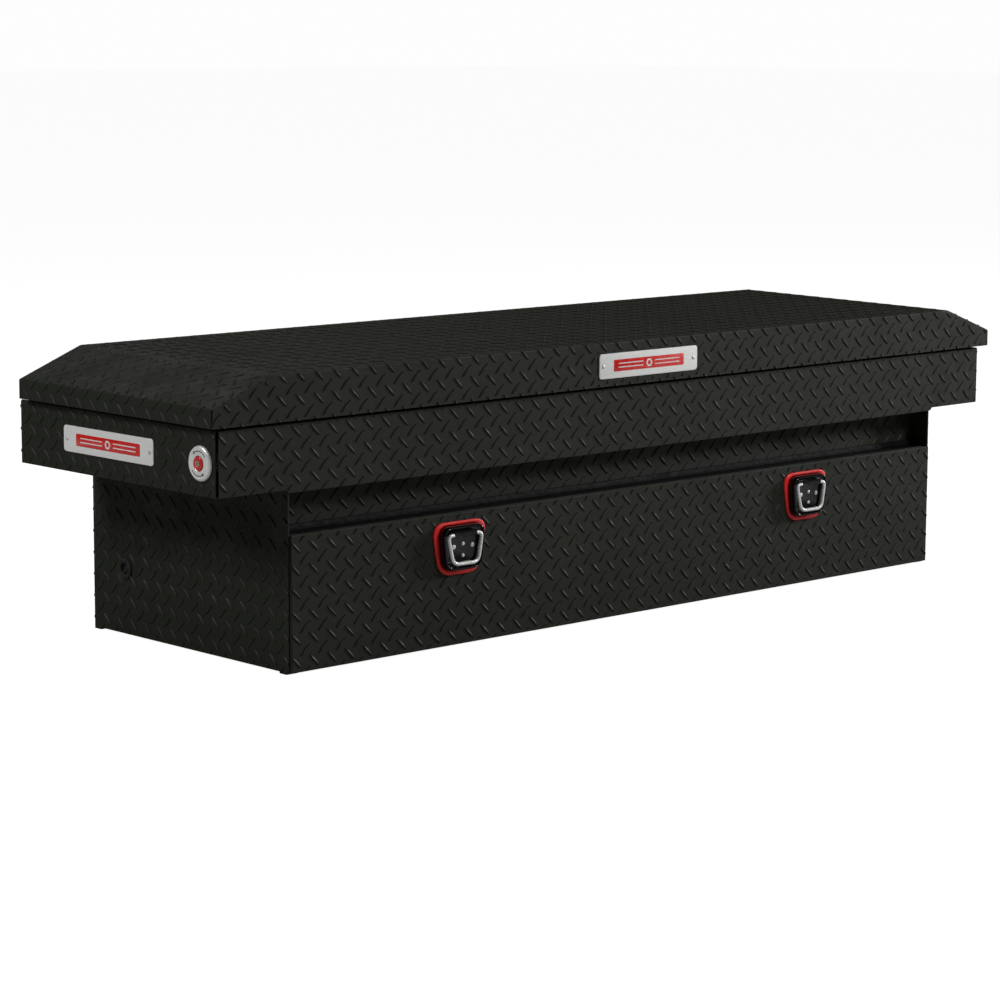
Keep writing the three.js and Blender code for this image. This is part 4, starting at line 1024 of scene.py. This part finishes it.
# ---- lid liner
def lid_liner():
    """The pan under the lid, with shallow panels pressed into it."""
    a, b = box("lid_inner_pan")
    nx, ny = 182, 56
    panels, margin, deep, slope = 5, 60, 1.7, 12
    cell = (b.x - a.x - 2 * margin) / panels

    def press(x, y):
        """How far the sheet is pressed up at a point, in a smooth step from a panel's edge."""
        i = (x - a.x - margin) / cell
        k = math.floor(i)
        if k < 0 or k >= panels:
            return 0.0
        dx = cell / 2 - 22 - abs((i - k - 0.5) * cell)
        dy = (b.y - a.y) / 2 - 70 - abs(y - (a.y + b.y) / 2)
        t = min(1.0, max(0.0, min(dx, dy) / slope))
        return deep * t * t * (3 - 2 * t)

    verts = [(x, y, level + press(x, y)) for level in (a.z, b.z)
             for x in np.round(np.linspace(a.x, b.x, nx), 3)
             for y in np.round(np.linspace(a.y, b.y, ny), 3)]
    n = nx * ny
    faces = []
    for i in range(nx - 1):
        for j in range(ny - 1):
            p = i * ny + j
            faces.append((p, p + 1, p + ny + 1, p + ny))
            faces.append((n + p, n + p + ny, n + p + ny + 1, n + p + 1))
    rim = [i * ny for i in range(nx)] + [(nx - 1) * ny + j for j in range(1, ny)]
    rim += [i * ny + ny - 1 for i in range(nx - 2, -1, -1)] + list(range(ny - 2, 0, -1))
    for p, q in zip(rim, rim[1:] + rim[:1]):
        faces.append((p, q, q + n, p + n))
    return verts, faces


closed("lid_liner", [lid_liner()], LID, SHEET, ("lid_inner_pan",), 40)


# ---- nameplates
def badge(name, node, body, centre, u, out, length, height):
    """A riveted plate that faces out, with a plain red panel and a hexagon on it."""
    u, v, out, c = Vector(u), Vector((0, 0, 1)), Vector(out), Vector(centre)

    def at(a, b, h):
        return c + u * a + v * b + out * h

    def layer(w, t, r, levels):
        return loft([[at(a, b, h) for a, b in
                      round_rectangle(-w + i, w - i, -t + i, t - i, max(r - i, 0.3))]
                     for i, h in levels])

    w, t = length / 2, height / 2
    closed(name + "_plate", [layer(w, t, 6, ((0, 0), (0, 1.0), (0.25, 1.35), (0.8, 1.5)))], body,
           PLATE, (node,), 40)
    closed(name + "_red", [layer(w - 33, t - 11, 2.4, ((0, 1.4), (0, 1.6), (0.2, 1.7)))], body,
           RED, (), 40)
    device = [hoop([[at(r * p, r * q, h) for p, q in around(6)] for r, h in
                    ((7.4, 1.6), (7.4, 1.95), (4.2, 1.95), (4.2, 1.6))])]
    for s in (-1, 1):
        for b in (-3.2, 3.2):
            device.append(loft([[at(s * p, b + q, h) for p, q in
                                 ((14, -0.8), (72, -0.8), (72, 0.8), (14, 0.8))]
                                for h in (1.6, 1.85)]))
    closed(name + "_device", device, body, PLATE, (), 30)
    rivets = [dome(at(s * (w - 9), 0, 1.5), out, 3.6, 1.5) for s in (-1, 1)]
    closed(name + "_rivets", rivets, body, RIVET, (), 40)


a, b = box("nameplate_lid")
x, _, z = mid("nameplate_lid")
badge("lid_badge", "nameplate_lid", LID, (x, b.y, z), X_AXIS, (0, -1, 0), b.x - a.x, b.z - a.z)
for side, end in ENDS:
    a, b = box(f"nameplate_{end}_end")
    _, y, z = mid(f"nameplate_{end}_end")
    badge(f"{end}_badge", f"nameplate_{end}_end", BODY, (a.x if side > 0 else b.x, y, z),
          (0, side, 0), (side, 0, 0), b.y - a.y, b.z - a.z)


# ---- floor, light and camera
def lit_by_path(tree, seen, cast, out):
    """Joins seen for the camera's own rays and cast for light that lands on the object."""
    path, join = tree.nodes.new("ShaderNodeLightPath"), tree.nodes.new("ShaderNodeMixShader")
    tree.links.new(path.outputs["Is Camera Ray"], join.inputs["Fac"])
    tree.links.new(cast, join.inputs[1])
    tree.links.new(seen, join.inputs[2])
    tree.links.new(join.outputs["Shader"], out)


def stage_floor():
    s = 40.0  # half a side, in metres
    mesh = bpy.data.meshes.new("studio_floor")
    mesh.from_pydata([(-s, -s, 0), (s, -s, 0), (s, s, 0), (-s, s, 0)], [], [(0, 1, 2, 3)])
    floor = bpy.data.objects.new("studio_floor", mesh)
    floor.location.z = CAD_BOX[0].z - 0.0002
    bpy.context.scene.collection.objects.link(floor)
    mat = bpy.data.materials.new("studio_floor")
    mat.use_nodes = True
    tree = mat.node_tree
    bsdf = tree.nodes["Principled BSDF"]
    for socket, value in (("Base Color", (0.3, 0.3, 0.3, 1)), ("Roughness", 0.9),
                          ("Specular IOR Level", 0.0), ("Emission Color", (1, 1, 1, 1)),
                          ("Emission Strength", 0.95)):
        bsdf.inputs[socket].default_value = value
    dull = tree.nodes.new("ShaderNodeBsdfDiffuse")
    dull.inputs["Color"].default_value = (0.55, 0.55, 0.55, 1)
    lit_by_path(tree, bsdf.outputs["BSDF"], dull.outputs["BSDF"],
                tree.nodes["Material Output"].inputs["Surface"])
    mesh.materials.append(mat)


def area_light(name, place, size, power):
    """A square light, size metres wide, that shines on the middle of the box."""
    light = bpy.data.lights.new(name, "AREA")
    light.shape, light.size, light.size_y, light.energy = "RECTANGLE", size, size, power
    obj = bpy.data.objects.new(name, light)
    obj.location = place
    obj.rotation_mode = "QUATERNION"
    obj.rotation_quaternion = (Vector((0, 0, 0.2)) - Vector(place)).to_track_quat("-Z", "Y")
    bpy.context.scene.collection.objects.link(obj)


stage_floor()
area_light("key_right", (6.95, -2.29, 1.83), 1.1, 225)
area_light("front", (2.00, -3.50, 3.20), 1.0, 90)
area_light("upper_left", (-3.92, 1.10, 3.11), 1.3, 86)
area_light("top_rear", (1.02, 3.06, 4.03), 1.5, 19)
world = bpy.data.worlds.new("studio")
world.use_nodes = True
sky = world.node_tree.nodes
cast, seen = sky["Background"], sky.new("ShaderNodeBackground")
for background, strength in ((cast, 0.05), (seen, 0.985)):
    background.inputs["Color"].default_value = (1, 1, 1, 1)
    background.inputs["Strength"].default_value = strength
lit_by_path(world.node_tree, seen.outputs["Background"], cast.outputs["Background"],
            sky["World Output"].inputs["Surface"])
bpy.context.scene.world = world
bpy.context.scene.view_settings.view_transform = "Standard"

YAW, PITCH_DOWN, ROLL = 0.75138574, 0.15463537, 0.00471311  # radians
FOCAL, FRAME_WIDE, SENSOR = 3127.27, 1000, 36.0  # pixels, pixels and millimetres
EYE = (-3.706397, -3.864897, 0.999119)
camera = bpy.data.cameras.new("camera")
camera.sensor_width, camera.lens = SENSOR, SENSOR * FOCAL / FRAME_WIDE
camera.clip_start, camera.clip_end = 0.05, 100
forward = Vector((math.sin(YAW) * math.cos(PITCH_DOWN), math.cos(YAW) * math.cos(PITCH_DOWN),
                  -math.sin(PITCH_DOWN)))
level = Vector((math.cos(YAW), -math.sin(YAW), 0))
upright = level.cross(forward)
right = level * math.cos(ROLL) + upright * math.sin(ROLL)
up = upright * math.cos(ROLL) - level * math.sin(ROLL)
camera_obj = bpy.data.objects.new("camera", camera)
camera_obj.matrix_world = Matrix((*zip(right, up, -forward, EYE), (0, 0, 0, 1)))
bpy.context.scene.collection.objects.link(camera_obj)
bpy.context.scene.camera = camera_obj
